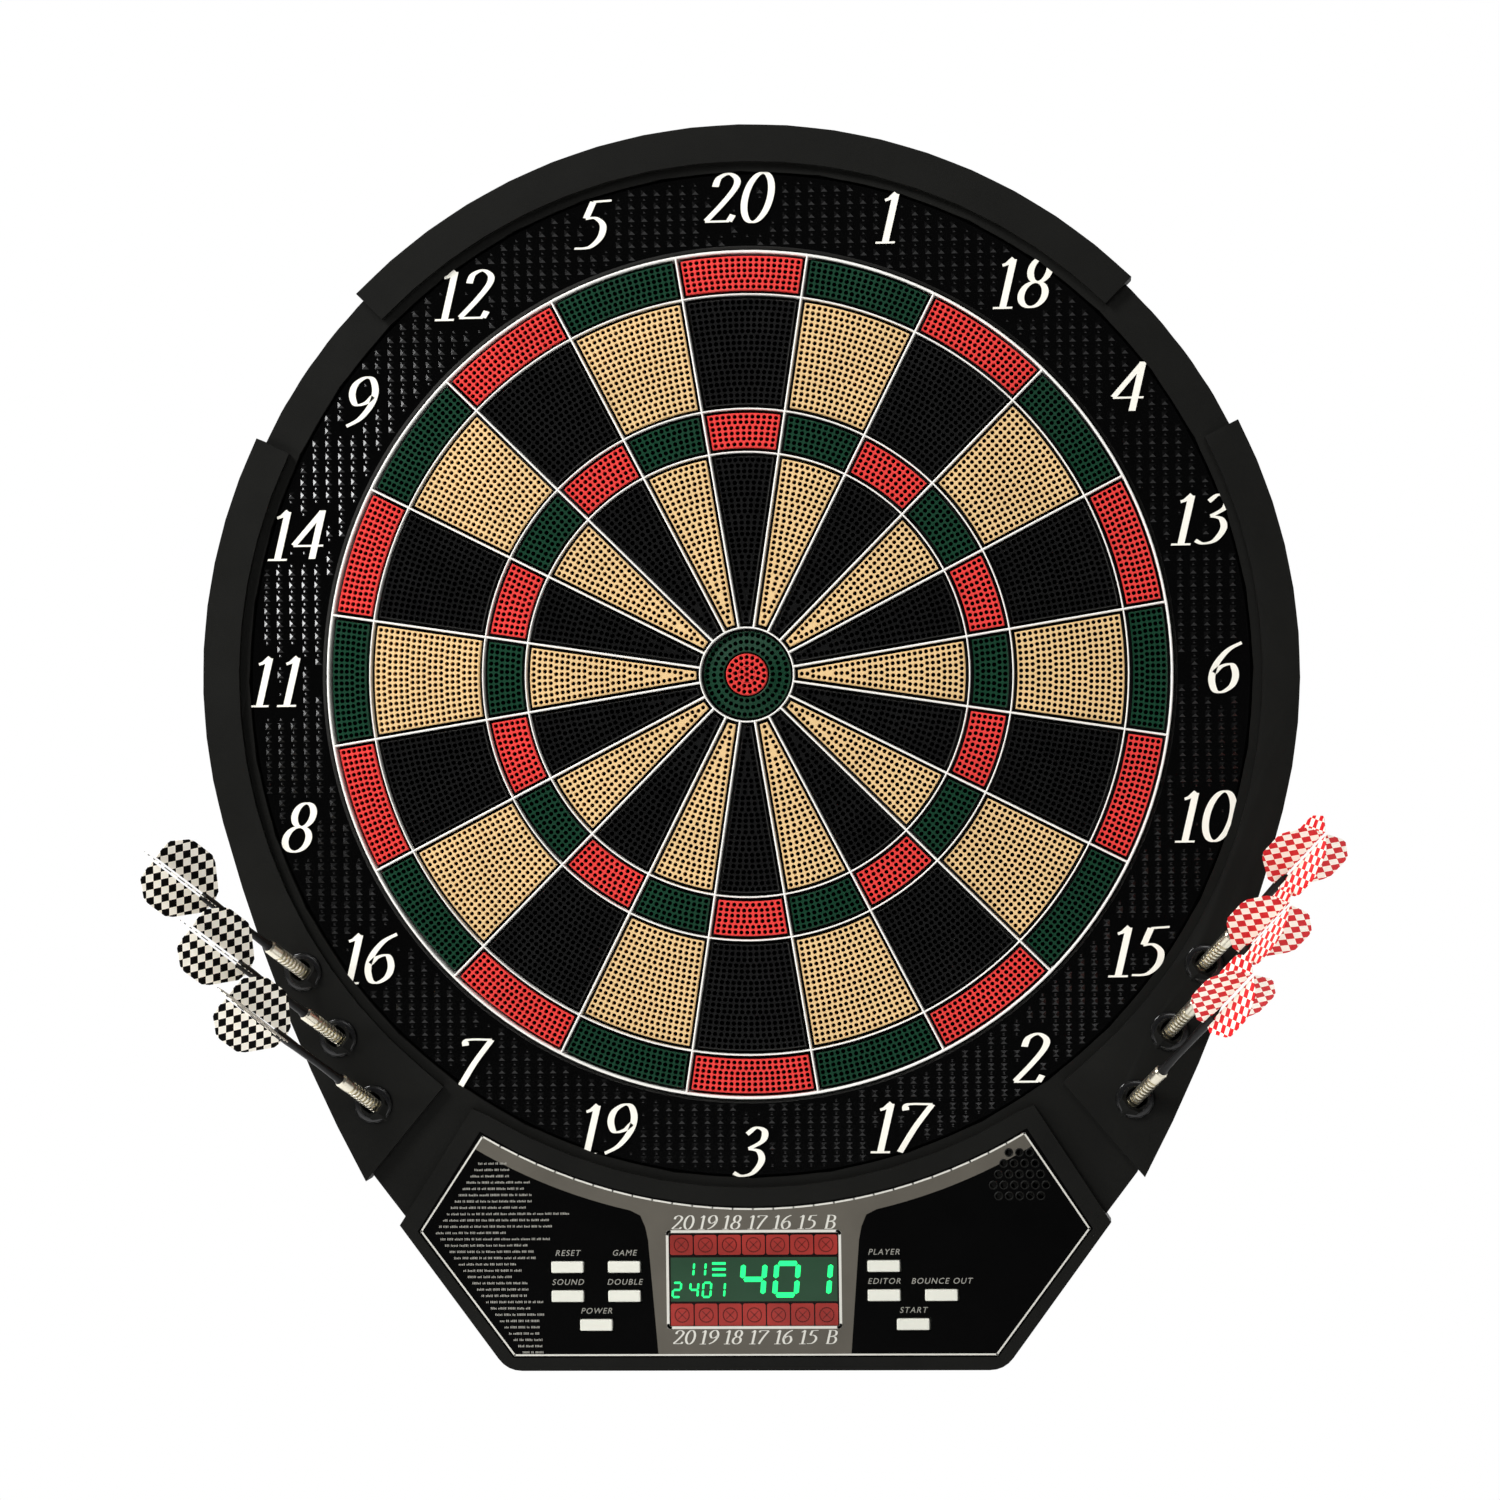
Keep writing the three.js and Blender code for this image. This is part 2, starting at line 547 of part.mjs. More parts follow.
// The display module: a glass and frame on a carrier, standing on four legs.
function displayModule() {
  const [width, height] = DISPLAY_SIZE;
  const glass = slab(rectangle(DISPLAY_CENTRE, [width - 1, height - 1]), ...DISPLAY_GLASS);
  const carrier = slab(rectangle(DISPLAY_CENTRE, [width + 6, height + 5]), ...DISPLAY_CARRIER);
  const legs = [[-1, -1], [1, -1], [1, 1], [-1, 1]].map(([i, j]) => {
    const place = [DISPLAY_CENTRE[0] + (i * width) / 2, DISPLAY_CENTRE[1] + (j * height) / 2];
    return slab(rectangle(place, [3, 3]), MAIN_BOARD_FRONT - GAP, -32);
  });
  return joined([glass, carrier, ...legs]);
}

// A push button: a cap that stands through the panel on a flange behind the console's wall.
function button(centre) {
  const flangeSize = [BUTTON_SIZE[0] + 3, BUTTON_SIZE[1] + 3];
  const cap = slab(rectangle(centre, BUTTON_SIZE), -32.4, BUTTON_FRONT);
  return cap.add(slab(rectangle(centre, flangeSize), -32.2, CONSOLE_REAR + GAP));
}

// The rubber key mat: two pads of domes joined by a strip below the display.
function keyPad() {
  const pads = [-1, 1].map((side) => rectangle([side * KEY_MIDDLE, KEY_ROWS[1]], [46, 38]));
  const strip = rectangle([0, -308.6], [120, 4]);
  const links = [-1, 1].map((side) => rectangle([side * 56, -307.5], [8, 6]));
  const sheets = [...pads, strip, ...links].map((outline) => slab(outline, KEY_PAD_REAR, KEY_PAD_FRONT));
  const domes = Object.values(BUTTONS).map((centre) => {
    return slab(circle(KEY_DOME_RADIUS, 8, centre), KEY_PAD_REAR - 0.4, KEY_DOME_FRONT);
  });
  return joined([...sheets, ...domes]);
}

function mainBoard() {
  return slab(rectangle(MAIN_BOARD_CENTRE, MAIN_BOARD_SIZE), MAIN_BOARD_REAR, MAIN_BOARD_FRONT);
}

function speaker() {
  const { flangeRadius, flangeRear, magnetRadius, magnetRear } = SPEAKER;
  const flange = slab(circle(flangeRadius, 20, SPEAKER_CENTRE), flangeRear, CONSOLE_REAR + GAP);
  const magnet = slab(circle(magnetRadius, 16, SPEAKER_CENTRE), magnetRear, flangeRear - 0.5);
  return flange.add(magnet);
}

// The power inlet: a barrel jack with its centre pin, opening downwards.
function dcJack() {
  const down = new THREE.Vector3(0, 0, -1);
  const top = new THREE.Vector3(JACK_X, JACK_Y, -302);
  const body = slab(rectangle([JACK_X, -309], [9, 13.6]), JACK_Y + 4.5, JACK_Y - 4.5);
  const nose = bar(top, down, 10, 16.2, 3.6, 12);
  const bore = bar(top, down, 5, 20, 2.75, 12);
  const pin = bar(top, down, 4, 14.5, 1, 8);
  return body.add(nose).subtract(bore).add(pin);
}

// ---- Darts, built along +Z from the socket's mouth ----

function dartBody() {
  const { tipEnd, barrelStart, barrelEnd, shaftEnd, forkEnd } = DART;
  const { tip, barrel, shaft } = DART_RADII;
  const profile = [
    [0, tipEnd], [0.5, tipEnd + 0.6], [tip, tipEnd + 6], [tip, barrelStart - 1.2], [2.2, barrelStart],
    [barrel, barrelStart + 1.5], [barrel, barrelEnd - 1], [2.6, barrelEnd], [shaft, barrelEnd + 1.5],
    [shaft, shaftEnd - 8], [shaft, forkEnd], [0, forkEnd],
  ];
  const lathe = new THREE.LatheGeometry(profile.map(([r, s]) => new THREE.Vector2(r, s)), 8);
  return solidOf(lathe.rotateX(Math.PI / 2));
}

// A flight: two crossed thin blades with a round hole at the front for the shaft's fork.
function flight() {
  const { length, halfWidth, shoulders, endHalfWidth, thickness, forkHole } = FLIGHT;
  const edge = [[DART_RADII.barrel, 0], ...shoulders.map((s) => [halfWidth, s]), [endHalfWidth, length]];
  const half = edge.map(([r, s]) => new THREE.Vector2(r, s));
  const blade = new THREE.ExtrudeGeometry(new THREE.Shape([...half, ...mirrored(half)]), {
    depth: thickness,
    bevelEnabled: false,
    steps: 1,
  });
  blade.translate(0, 0, -thickness / 2).rotateX(Math.PI / 2);
  const crossed = solidOf(blade).add(solidOf(blade.clone().rotateZ(Math.PI / 2)));
  const forkDepth = DART.forkEnd - DART.shaftEnd + GAP;
  const fork = bar(new THREE.Vector3(), new THREE.Vector3(0, 0, 1), -1, forkDepth, forkHole, 6);
  return crossed.subtract(fork).translate([0, 0, DART.shaftEnd]);
}

// ---- The assembly ----

const board = new THREE.Group();

function addMesh(parent, name, geometry, colour, roughness = 0.6, metalness = 0) {
  const material = new THREE.MeshStandardMaterial({ color: colour, roughness, metalness });
  const mesh = new THREE.Mesh(geometry, material);
  mesh.name = name;
  parent.add(mesh);
  return mesh;
}

const addSolid = (name, solid, ...look) => addMesh(board, name, geometryOf(solid), ...look);

addSolid("front_casing", frontCasing(), COLOURS.casing, 0.75);
addSolid("rear_cover", rearCover(), COLOURS.rear, 0.75);
addSolid("catch_ring", catchRing(), COLOURS.gloss, 0.15);
addSolid("spider", spider(), COLOURS.spider, 0.45);
addSolid("rubber_mat", disc(MAT_RADIUS, MAT_REAR, MAT_FRONT), COLOURS.rubber, 0.95);
addSolid("sensor_sheet_front", sensorSheet(-20, ...SENSOR_FRONT_SHEET), COLOURS.sheet, 0.4);
addSolid("sensor_spacer", disc(MAT_RADIUS, ...SENSOR_SPACER), COLOURS.sheet, 0.5);
addSolid("sensor_sheet_rear", sensorSheet(20, ...SENSOR_REAR_SHEET), COLOURS.sheet, 0.4);
addSolid("backing_board", disc(MAT_RADIUS + 1, RIB_FRONT - GAP, BACKING_FRONT), COLOURS.hardboard, 0.9);
addSolid("outer_bull", outerBull(), COLOURS.green, 0.5);
addSolid("inner_bull", innerBull(), COLOURS.red, 0.5);

const sectorGeometry = geometryOf(sector());
SECTOR_NUMBERS.forEach((number, i) => {
  const colour = i % 2 ? COLOURS.tan : COLOURS.black;
  const mesh = addMesh(board, `sector_${String(number).padStart(2, "0")}`, sectorGeometry, colour, 0.5);
  mesh.rotation.y = THREE.MathUtils.degToRad(i * SECTOR_DEGREES);
});

addSolid("control_panel", controlPanel(), COLOURS.panel, 0.45);
addSolid("display_window", displayWindow(), COLOURS.lens, 0.1);
addSolid("display_module", displayModule(), COLOURS.black, 0.4);
addSolid("key_pad", keyPad(), COLOURS.rubber, 0.9);
addSolid("main_board", mainBoard(), COLOURS.board, 0.5);
addSolid("speaker", speaker(), COLOURS.black, 0.6);
addSolid("dc_jack", dcJack(), COLOURS.black, 0.4);
for (const [name, centre] of Object.entries(BUTTONS)) {
  addSolid(name, button(centre), COLOURS.button, 0.55);
}

const dartGeometry = geometryOf(dartBody());
const flightGeometry = geometryOf(flight());
for (const [label, side] of [["left", -1], ["right", 1]]) {
  socketMouths.forEach(([x, z], k) => {
    const placed = new THREE.Group();
    const axis = new THREE.Vector3(...DART_AXES[label]).normalize();
    const across = axis.clone().cross(new THREE.Vector3(0, 1, 0)).normalize();
    const basis = new THREE.Matrix4().makeBasis(across, axis.clone().cross(across), axis);
    placed.quaternion.setFromRotationMatrix(basis);
    placed.rotateZ(THREE.MathUtils.degToRad(FLIGHT_ROLL_DEGREES[label][k]));
    placed.position.set(side * x, CAP_FRONT, z);
    board.add(placed);
    addMesh(placed, `dart_${label}_${k + 1}`, dartGeometry, COLOURS.metal, 0.35, 0.9);
    const check = side < 0 ? COLOURS.whiteCheck : COLOURS.redCheck;
    addMesh(placed, `flight_${label}_${k + 1}`, flightGeometry, check, 0.5);
  });
}

export default board;
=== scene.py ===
"""Electronic dartboard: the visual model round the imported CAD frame. Metres; the board faces -Y, Z is up."""
import json
import math
import random

import bmesh
import bpy
from mathutils import Matrix, Vector
from mathutils.kdtree import KDTree


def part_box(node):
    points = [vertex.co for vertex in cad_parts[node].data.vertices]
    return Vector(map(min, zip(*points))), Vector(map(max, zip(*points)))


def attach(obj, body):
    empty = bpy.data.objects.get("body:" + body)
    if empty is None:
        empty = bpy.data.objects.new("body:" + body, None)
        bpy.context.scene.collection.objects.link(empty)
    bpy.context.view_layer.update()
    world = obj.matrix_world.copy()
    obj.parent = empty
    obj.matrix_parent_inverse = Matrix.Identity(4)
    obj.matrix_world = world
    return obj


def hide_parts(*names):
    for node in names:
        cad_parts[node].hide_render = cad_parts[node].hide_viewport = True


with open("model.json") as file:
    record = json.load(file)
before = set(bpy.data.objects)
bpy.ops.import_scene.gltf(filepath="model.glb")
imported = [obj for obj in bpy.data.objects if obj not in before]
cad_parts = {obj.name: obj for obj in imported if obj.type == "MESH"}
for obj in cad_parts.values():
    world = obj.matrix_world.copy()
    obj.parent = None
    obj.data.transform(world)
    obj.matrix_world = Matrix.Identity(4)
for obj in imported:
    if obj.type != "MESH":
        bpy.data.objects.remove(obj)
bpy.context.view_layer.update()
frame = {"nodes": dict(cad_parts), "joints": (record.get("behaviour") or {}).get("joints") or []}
NODES = frame["nodes"]
JOINTS = {joint["name"]: joint for joint in frame["joints"]}
MM = 0.001

# ---- Driving dimensions, in metres; pairs written without MM are in millimetres ----

NUMBERS = [20, 1, 18, 4, 13, 6, 10, 15, 2, 17, 3, 19, 7, 16, 8, 11, 14, 9, 12, 5]
SECTOR = math.radians(18)
SPIDER_FRONT, SPIDER_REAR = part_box("spider")[0].y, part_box("spider")[1].y
SEGMENT_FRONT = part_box("sector_20")[0].y
WEB_FRONT, WEB_REAR = -27 * MM, -25 * MM
RING_FRONT, RING_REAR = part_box("catch_ring")[0].y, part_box("catch_ring")[1].y
PANEL_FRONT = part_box("control_panel")[0].y
CAP_FRONT = -38 * MM
FLOOR_HEIGHT = -0.62

DOUBLE_OUTER = 195.6 * MM
RIM = (195.9 * MM, 197.5 * MM)
DOUBLE_LINE = 176.8 * MM
TREBLE_OUTER = 123.6 * MM
TREBLE_INNER = 103.5 * MM
BULL_LINE = 21.9 * MM
INNER_BULL = 9.7 * MM
OUTER_BULL = (10.5 * MM, 20.25 * MM)
HALF_ARC = 0.45 * MM
HALF_LINE = 0.6 * MM
LINE_CLEARANCE = 2.0 * MM
WALL_REAR = -28 * MM
HOLE_PITCH = 2.7 * MM
MOUTH_RADIUS = 1.12 * MM
HOLE_RADIUS = 0.98 * MM
MOUTH_DEPTH = 0.6 * MM
HOLE_DEPTH = 4.6 * MM
BED_MARGIN = 1.65 * MM
BED_ROUND = 0.45 * MM
OUTER_BULL_FALL = 2.2 * MM

RING_INNER = 198 * MM
RING_OUTER = 233.5 * MM
RING_LIP = 237.4 * MM
LIP_FRONT, LIP_REAR = -30.6 * MM, -28.9 * MM
RING_EDGE = 1.2 * MM
RING_WALL = 2 * MM
RING_INSIDE = -31 * MM
NUMBER_RADIUS = 221.5 * MM
NUMBER_HEIGHT = 24.5 * MM
NUMBER_RISE = 0.7 * MM
BUMP_PITCH = 6.0 * MM
BUMP_HALF = 1.5 * MM
BUMP_HEIGHT = 0.72 * MM
SMALL_BUMP = 0.42
BUMP_ZONE = (RING_INNER + 3.2 * MM, RING_OUTER - 2.6 * MM)
FIGURE_MARGIN = 3.4 * MM

DISPLAY_CENTRE = Vector((0, 0, -280.3 * MM))
KEY_LABELS = {
    "reset": "RESET", "game": "GAME", "sound": "SOUND", "double": "DOUBLE", "power": "POWER",
    "player": "PLAYER", "editor": "EDITOR", "bounce_out": "BOUNCE OUT", "start": "START",
}
SPEAKER_CENTRE = (123.5, -232.2)
SPEAKER_ROWS = [3, 4, 5, 6, 5]
SPEAKER_PITCH = (4.85, 5.0)
SPEAKER_HOLE = 1.5 * MM
SPEAKER_RIM = (2.1 * MM, 0.3 * MM)

SOCKET_MOUTHS = [(209.5, -136), (193.25, -167), (177, -198)]
CHECK_PITCH = 3.8 * MM
FLIGHT_ROLLS = {"left": [12, 13, 10], "right": [30, 22, 36]}
SCREW_PLACES = [(0, 243), (162.6, 180.6), (243, 0), (221, -112), (174, -221), (150, -257), (107, -311)]


# ---- Small helpers ----

def polar(radius, angle, y=0.0):
    """A point on the board at an angle counted clockwise from the top."""
    return Vector((radius * math.sin(angle), y, radius * math.cos(angle)))


def arc(radius, start, end, steps):
    return [polar(radius, start + (end - start) * i / steps) for i in range(steps + 1)]


def millimetres(points):
    return [Vector((x * MM, 0, z * MM)) for x, z in points]


def mirrored(points):
    return [Vector((-p.x, p.y, p.z)) for p in reversed(points)]


def placed(name, data):
    """A new object in the scene."""
    obj = bpy.data.objects.new(name, data)
    bpy.context.scene.collection.objects.link(obj)
    return obj


def dress(mesh, material):
    """Gives a mesh one material in place of any that it had."""
    mesh.materials.clear()
    mesh.materials.append(material)


def final_mesh(obj):
    """The object's mesh with its modifiers or its curve worked out."""
    bpy.context.view_layer.update()
    return bpy.data.meshes.new_from_object(obj.evaluated_get(bpy.context.evaluated_depsgraph_get()))


class Sheet:
    """Collects faces for one mesh."""

    def __init__(self):
        self.verts = []
        self.faces = []
        self.slots = []

    def add(self, verts, faces, slot=0):
        start = len(self.verts)
        self.verts.extend(verts)
        self.faces.extend(tuple(start + i for i in face) for face in faces)
        self.slots.extend([slot] * len(faces))

    def prism(self, outline, front, rear, slot=0):
        """A flat outline made solid between two depths, with its front towards -Y."""
        count = len(outline)
        area = sum(a.x * b.z - b.x * a.z for a, b in zip(outline, outline[1:] + outline[:1]))
        points = outline if area > 0 else outline[::-1]
        verts = [Vector((p.x, front, p.z)) for p in points] + [Vector((p.x, rear, p.z)) for p in points]
        sides = [(i, count + i, count + (i + 1) % count, (i + 1) % count) for i in range(count)]
        caps = [tuple(range(count)), tuple(range(2 * count - 1, count - 1, -1))]
        self.add(verts, caps + sides, slot)

    def turned(self, profile, centre=Vector((0, 0, 0)), sides=192, closed=True):
        """A profile of (radius, y) points turned about the Y direction through a centre."""
        count = len(profile)
        verts = [centre + polar(r, 2 * math.pi * s / sides, y) for s in range(sides) for r, y in profile]
        spans = range(count if closed else count - 1)
        faces = []
        for s in range(sides):
            here, after = s * count, (s + 1) % sides * count
            faces += [(here + i, here + (i + 1) % count, after + (i + 1) % count, after + i) for i in spans]
        self.add(verts, faces)

    def build(self, name, materials, smooth_degrees=None):
        mesh = bpy.data.meshes.new(name)
        mesh.from_pydata([tuple(v) for v in self.verts], [], self.faces)
        for material in materials:
            mesh.materials.append(material)
        mesh.polygons.foreach_set("material_index", self.slots)
        mesh.update()
        if smooth_degrees is not None:
            shade(mesh, smooth_degrees)
        return placed(name, mesh)


def shade(mesh, degrees):
    mesh.polygons.foreach_set("use_smooth", [True] * len(mesh.polygons))
    mesh.set_sharp_from_angle(angle=math.radians(degrees))


def outward(obj):
    """Turns a closed mesh's faces to point out."""
    solid = bmesh.new()
    solid.from_mesh(obj.data)
    bmesh.ops.recalc_face_normals(solid, faces=solid.faces)
    solid.to_mesh(obj.data)
    solid.free()
    return obj


def plate(name, outlines, front, rear, material):
    """A flat plate with holes: the first outline is its edge and the others are cut out of it."""
    curve = bpy.data.curves.new(name, "CURVE")
    curve.dimensions = "2D"
    curve.fill_mode = "BOTH"
    curve.extrude = (rear - front) / 2
    for outline in outlines:
        spline = curve.splines.new("POLY")
        spline.points.add(len(outline) - 1)
        spline.use_cyclic_u = True
        for spot, p in zip(spline.points, outline):
            spot.co = (p.x, p.z, 0, 1)
    source = placed(name + "_curve", curve)
    mesh = final_mesh(source)
    bpy.data.objects.remove(source)
    mesh.transform(Matrix.Translation((0, (front + rear) / 2, 0)) @ Matrix.Rotation(math.pi / 2, 4, "X"))
    dress(mesh, material)
    mesh.name = name
    return placed(name, mesh)


def settle(obj, slot, body="casing", *replaced):
    """Puts a finished piece under its body and hides the CAD nodes that it stands for; the slot is not used.
    """
    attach(obj, body)
    if replaced:
        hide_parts(*replaced)
    return obj


# ---- Materials ----

class Nodes:
    """A short way to write a procedural material."""

    def __init__(self, name, colour, roughness, metallic=0.0):
        self.material = bpy.data.materials.new(name)
        self.material.use_nodes = True
        self.tree = self.material.node_tree
        self.shader = self.tree.nodes["Principled BSDF"]
        self.shader.inputs["Base Color"].default_value = (*colour, 1)
        self.shader.inputs["Roughness"].default_value = roughness
        self.shader.inputs["Metallic"].default_value = metallic
        self.place = self.tree.nodes.new("ShaderNodeTexCoord").outputs["Object"]

    def noise(self, scale, detail=4.0):
        node = self.tree.nodes.new("ShaderNodeTexNoise")
        node.inputs["Scale"].default_value = scale
        node.inputs["Detail"].default_value = detail
        self.tree.links.new(self.place, node.inputs["Vector"])
        return node.outputs["Fac"]

    def tint(self, value, stops):
        node = self.tree.nodes.new("ShaderNodeValToRGB")
        for element, (position, colour) in zip(node.color_ramp.elements, stops):
            element.position = position
            element.color = (*colour, 1)
        self.tree.links.new(value, node.inputs["Fac"])
        self.tree.links.new(node.outputs["Color"], self.shader.inputs["Base Color"])

    def vary_roughness(self, scale, low, high):
        node = self.tree.nodes.new("ShaderNodeMapRange")
        node.inputs["To Min"].default_value = low
        node.inputs["To Max"].default_value = high
        self.tree.links.new(self.noise(scale), node.inputs["Value"])
        self.tree.links.new(node.outputs["Result"], self.shader.inputs["Roughness"])

    def bump(self, value, distance):
        node = self.tree.nodes.new("ShaderNodeBump")
        node.inputs["Distance"].default_value = distance
        self.tree.links.new(value, node.inputs["Height"])
        self.tree.links.new(node.outputs["Normal"], self.shader.inputs["Normal"])


def linear(code):
    """A hex colour as linear values."""
    channels = [int(code[i:i + 2], 16) / 255 for i in (0, 2, 4)]
    return tuple(c / 12.92 if c <= 0.04045 else ((c + 0.055) / 1.055) ** 2.4 for c in channels)


def moulded(name, code, roughness, grain=2600, spread=0.12, depth=0.00005, metallic=0.0, shine=0.5):
    """A surface with a fine grain in the bump, patches in the roughness and a slight change of tone."""
    colour = linear(code)
    nodes = Nodes(name, colour, roughness, metallic)
    nodes.shader.inputs["Specular IOR Level"].default_value = shine
    darker = tuple(c * (1 - spread) for c in colour)
    lighter = tuple(min(1, c * (1 + spread)) for c in colour)
    nodes.tint(nodes.noise(35), [(0.3, darker), (0.7, lighter)])
    nodes.vary_roughness(60, roughness * 0.8, min(1, roughness * 1.2))
    nodes.bump(nodes.noise(grain, 2.0), depth)
    return nodes.material


def glowing(name, code, strength):
    nodes = Nodes(name, linear(code), 0.4)
    nodes.shader.inputs["Emission Color"].default_value = (*linear(code), 1)
    nodes.shader.inputs["Emission Strength"].default_value = strength
    nodes.tint(nodes.noise(300), [(0.2, linear(code)), (0.8, tuple(0.85 * c for c in linear(code)))])
    return nodes.material


CASING = moulded("casing_plastic", "11110f", 0.5, shine=0.1, depth=0.00008)
REAR = moulded("rear_plastic", "1c1c1b", 0.6, shine=0.3, depth=0.00015)
RING = moulded("ring_gloss", "020202", 0.13, shine=0.33, grain=900, depth=0.00001)
PYRAMID = moulded("ring_pyramid", "020202", 0.19, shine=0.32, grain=900, depth=0.00001)
SOCKET = moulded("socket_black", "0c0c0d", 0.25, shine=0.5, depth=0.00001)
SPIDER = moulded("spider_white", "f2f0ea", 0.35, spread=0.03)
BLACK = moulded("segment_black", "060606", 0.3, spread=0.2, shine=0.35)
TAN = moulded("segment_tan", "dfbd88", 0.45, spread=0.06, shine=0.2)
RED = moulded("segment_red", "de3c38", 0.42, spread=0.07, shine=0.25)
GREEN = moulded("segment_green", "083522", 0.42, spread=0.1, shine=0.2)
NUMBER = moulded("number_print", "f7f4e8", 0.4, spread=0.03)
PANEL = moulded("panel_print", "010101", 0.4, shine=0.05, depth=0.00001)
GREY = moulded("panel_grey", "56524a", 0.4, spread=0.1, shine=0.2, depth=0.00001)
WHITE_INK = moulded("panel_white", "cdcbc2", 0.4, spread=0.04, depth=0.00001)
FINE_INK = moulded("panel_fine_print", "8f8d85", 0.4, spread=0.04, depth=0.00001)
LENS = moulded("display_lens", "160a08", 0.15, shine=0.3, depth=0.000005)
LENS_RED = moulded("display_red", "8e2a24", 0.2, spread=0.25, depth=0.000005)
LENS_GREEN = moulded("display_green", "22402c", 0.2, spread=0.1, depth=0.000005)
CELL_MARK = moulded("display_mark", "65201b", 0.2, depth=0.000005)
LIT = glowing("led_green", "16e070", 1.15)
BUTTON = moulded("button_white", "d8d8cc", 0.42, spread=0.03)
RUBBER = moulded("rubber_black", "282828", 0.85)
# Black for the real fittings, and also the dark of painted shade on the segments' hole floors and webs and on
# the screws' crosses.
DARK = moulded("fitting_black", "0c0c0c", 0.6, shine=0.2)
FILM = moulded("sensor_film", "d8d0b8", 0.3)
HARDBOARD = moulded("backing_wood", "7a5a3a", 0.85, spread=0.25, depth=0.0002)
BOARD = moulded("board_green", "1e6a3c", 0.35, spread=0.15)
NICKEL = moulded("dart_barrel", "dcd6c4", 0.28, spread=0.08, metallic=1.0, depth=0.00001)
SHAFT = moulded("dart_shaft", "0b0b0b", 0.4, shine=0.2)
SCREW = moulded("screw_steel", "9a9a9a", 0.3, metallic=1.0, depth=0.00001)
CHECK_BLACK = moulded("check_black", "050403", 0.5, shine=0.05)
# The white checks glow: painted light standing for light passing through the thin film.
CHECK_WHITE = glowing("check_white_painted_glow", "faf4e6", 0.22)
CHECK_RED = moulded("check_red", "dc2028", 0.45, spread=0.06, shine=0.2)


# ---- Camera, light and floor ----

LENS_LENGTH = 100.5
SENSOR_WIDTH = 36
CAMERA_PLACE = (0.1563, SPIDER_FRONT - 1.9383, -0.0419)
CAMERA_TARGET = (0.0011, SPIDER_FRONT, -0.0351)
CAMERA_ROLL = math.radians(-0.755)
AMBIENT = ((0.97, 0.98, 1, 1), 0.045)
# Each light: its name, its place, its size and its power.
LIGHTS = [
    ("key", (-1.5, -1.45, 1.6), 0.7, 66),
    ("fill", (0.5, -2.4, 1.6), 1.0, 20),
    ("side", (-1.1, -0.49, 0.12), 0.18, 4.5),
    ("back_left", (-1.5, 1.7, 1.2), 1.4, 70),
    ("back_right", (1.6, 1.5, 0.3), 1.4, 40),
]
FLOOR_HALF_WIDTH = 1.5
FLOOR_NEAR, FLOOR_FAR = -2.2, 1.0
FLOOR_THICKNESS = 20 * MM
PAPER_TONE = 0.86


def aim(obj, target):
    obj.rotation_euler = (Vector(target) - obj.location).to_track_quat("-Z", "Y").to_euler()


def make_camera():
    data = bpy.data.cameras.new("camera")
    data.lens = LENS_LENGTH
    data.sensor_width = SENSOR_WIDTH
    camera = placed("camera", data)
    camera.location = CAMERA_PLACE
    aim(camera, CAMERA_TARGET)
    camera.rotation_euler.rotate_axis("Z", CAMERA_ROLL)
    bpy.context.scene.camera = camera


def make_light(name, place, size, power):
    data = bpy.data.lights.new(name, "AREA")
    data.size = size
    data.energy = power
    light = placed(name, data)
    light.location = place
    aim(light, (0, 0, 0))


def make_world():
    """White to look at, and a softer grey as a light, so that black plastic stays black."""
    world = bpy.data.worlds.new("studio")
    world.use_nodes = True
    tree = world.node_tree
    seen = tree.nodes["Background"]
    seen.inputs["Color"].default_value = (1, 1, 1, 1)
    seen.inputs["Strength"].default_value = 1.0
    lit = tree.nodes.new("ShaderNodeBackground")
    lit.inputs["Color"].default_value, lit.inputs["Strength"].default_value = AMBIENT
    mix = tree.nodes.new("ShaderNodeMixShader")
    path = tree.nodes.new("ShaderNodeLightPath")
    tree.links.new(path.outputs["Is Camera Ray"], mix.inputs["Fac"])
    tree.links.new(lit.outputs["Background"], mix.inputs[1])
    tree.links.new(seen.outputs["Background"], mix.inputs[2])
    tree.links.new(mix.outputs["Shader"], tree.nodes["World Output"].inputs["Surface"])
    bpy.context.scene.world = world
    bpy.context.scene.view_settings.view_transform = "Standard"


def make_stage():
    make_world()
    for light in LIGHTS:
        make_light(*light)
    floor = Sheet()
    half, low = FLOOR_HALF_WIDTH, -FLOOR_THICKNESS
    side = [Vector((x, 0, z)) for x, z in ((-half, low), (half, low), (half, 0), (-half, 0))]
    floor.prism(side, FLOOR_NEAR, FLOOR_FAR)
    paper = Nodes("paper", (PAPER_TONE, PAPER_TONE, PAPER_TONE), 0.9)
    paper.bump(paper.noise(400), 0.00005)
    obj = floor.build("floor", [paper.material])
    obj.location.z = FLOOR_HEIGHT


make_camera()
make_stage()


# ---- CAD shapes that are kept, with rounded edges ----

def round_arcs(solid):
    """Puts points between the ends of every chord of the board's own circles, out on the circle."""
    def radius(vert):
        return math.hypot(vert.co.x, vert.co.z)

    chords = []
    for edge in solid.edges:
        a, b = edge.verts
        level = abs(a.co.y - b.co.y) < 0.01 * MM and abs(radius(a) - radius(b)) < 0.03 * MM
        if level and radius(a) > 150 * MM and 6 * MM < edge.calc_length() < 0.17 * radius(a):
            chords.append(edge)
    done = bmesh.ops.subdivide_edges(solid, edges=chords, cuts=4, use_grid_fill=True)
    circles = {round(radius(v), 5) for e in chords if e.is_valid for v in e.verts}
    for vert in {g for g in done["geom_inner"] if isinstance(g, bmesh.types.BMVert)}:
        here = radius(vert)
        wanted = [r for r in circles if 0 <= r - here < 0.0035 * r]
        if wanted:
            vert.co.x *= min(wanted) / here
            vert.co.z *= min(wanted) / here


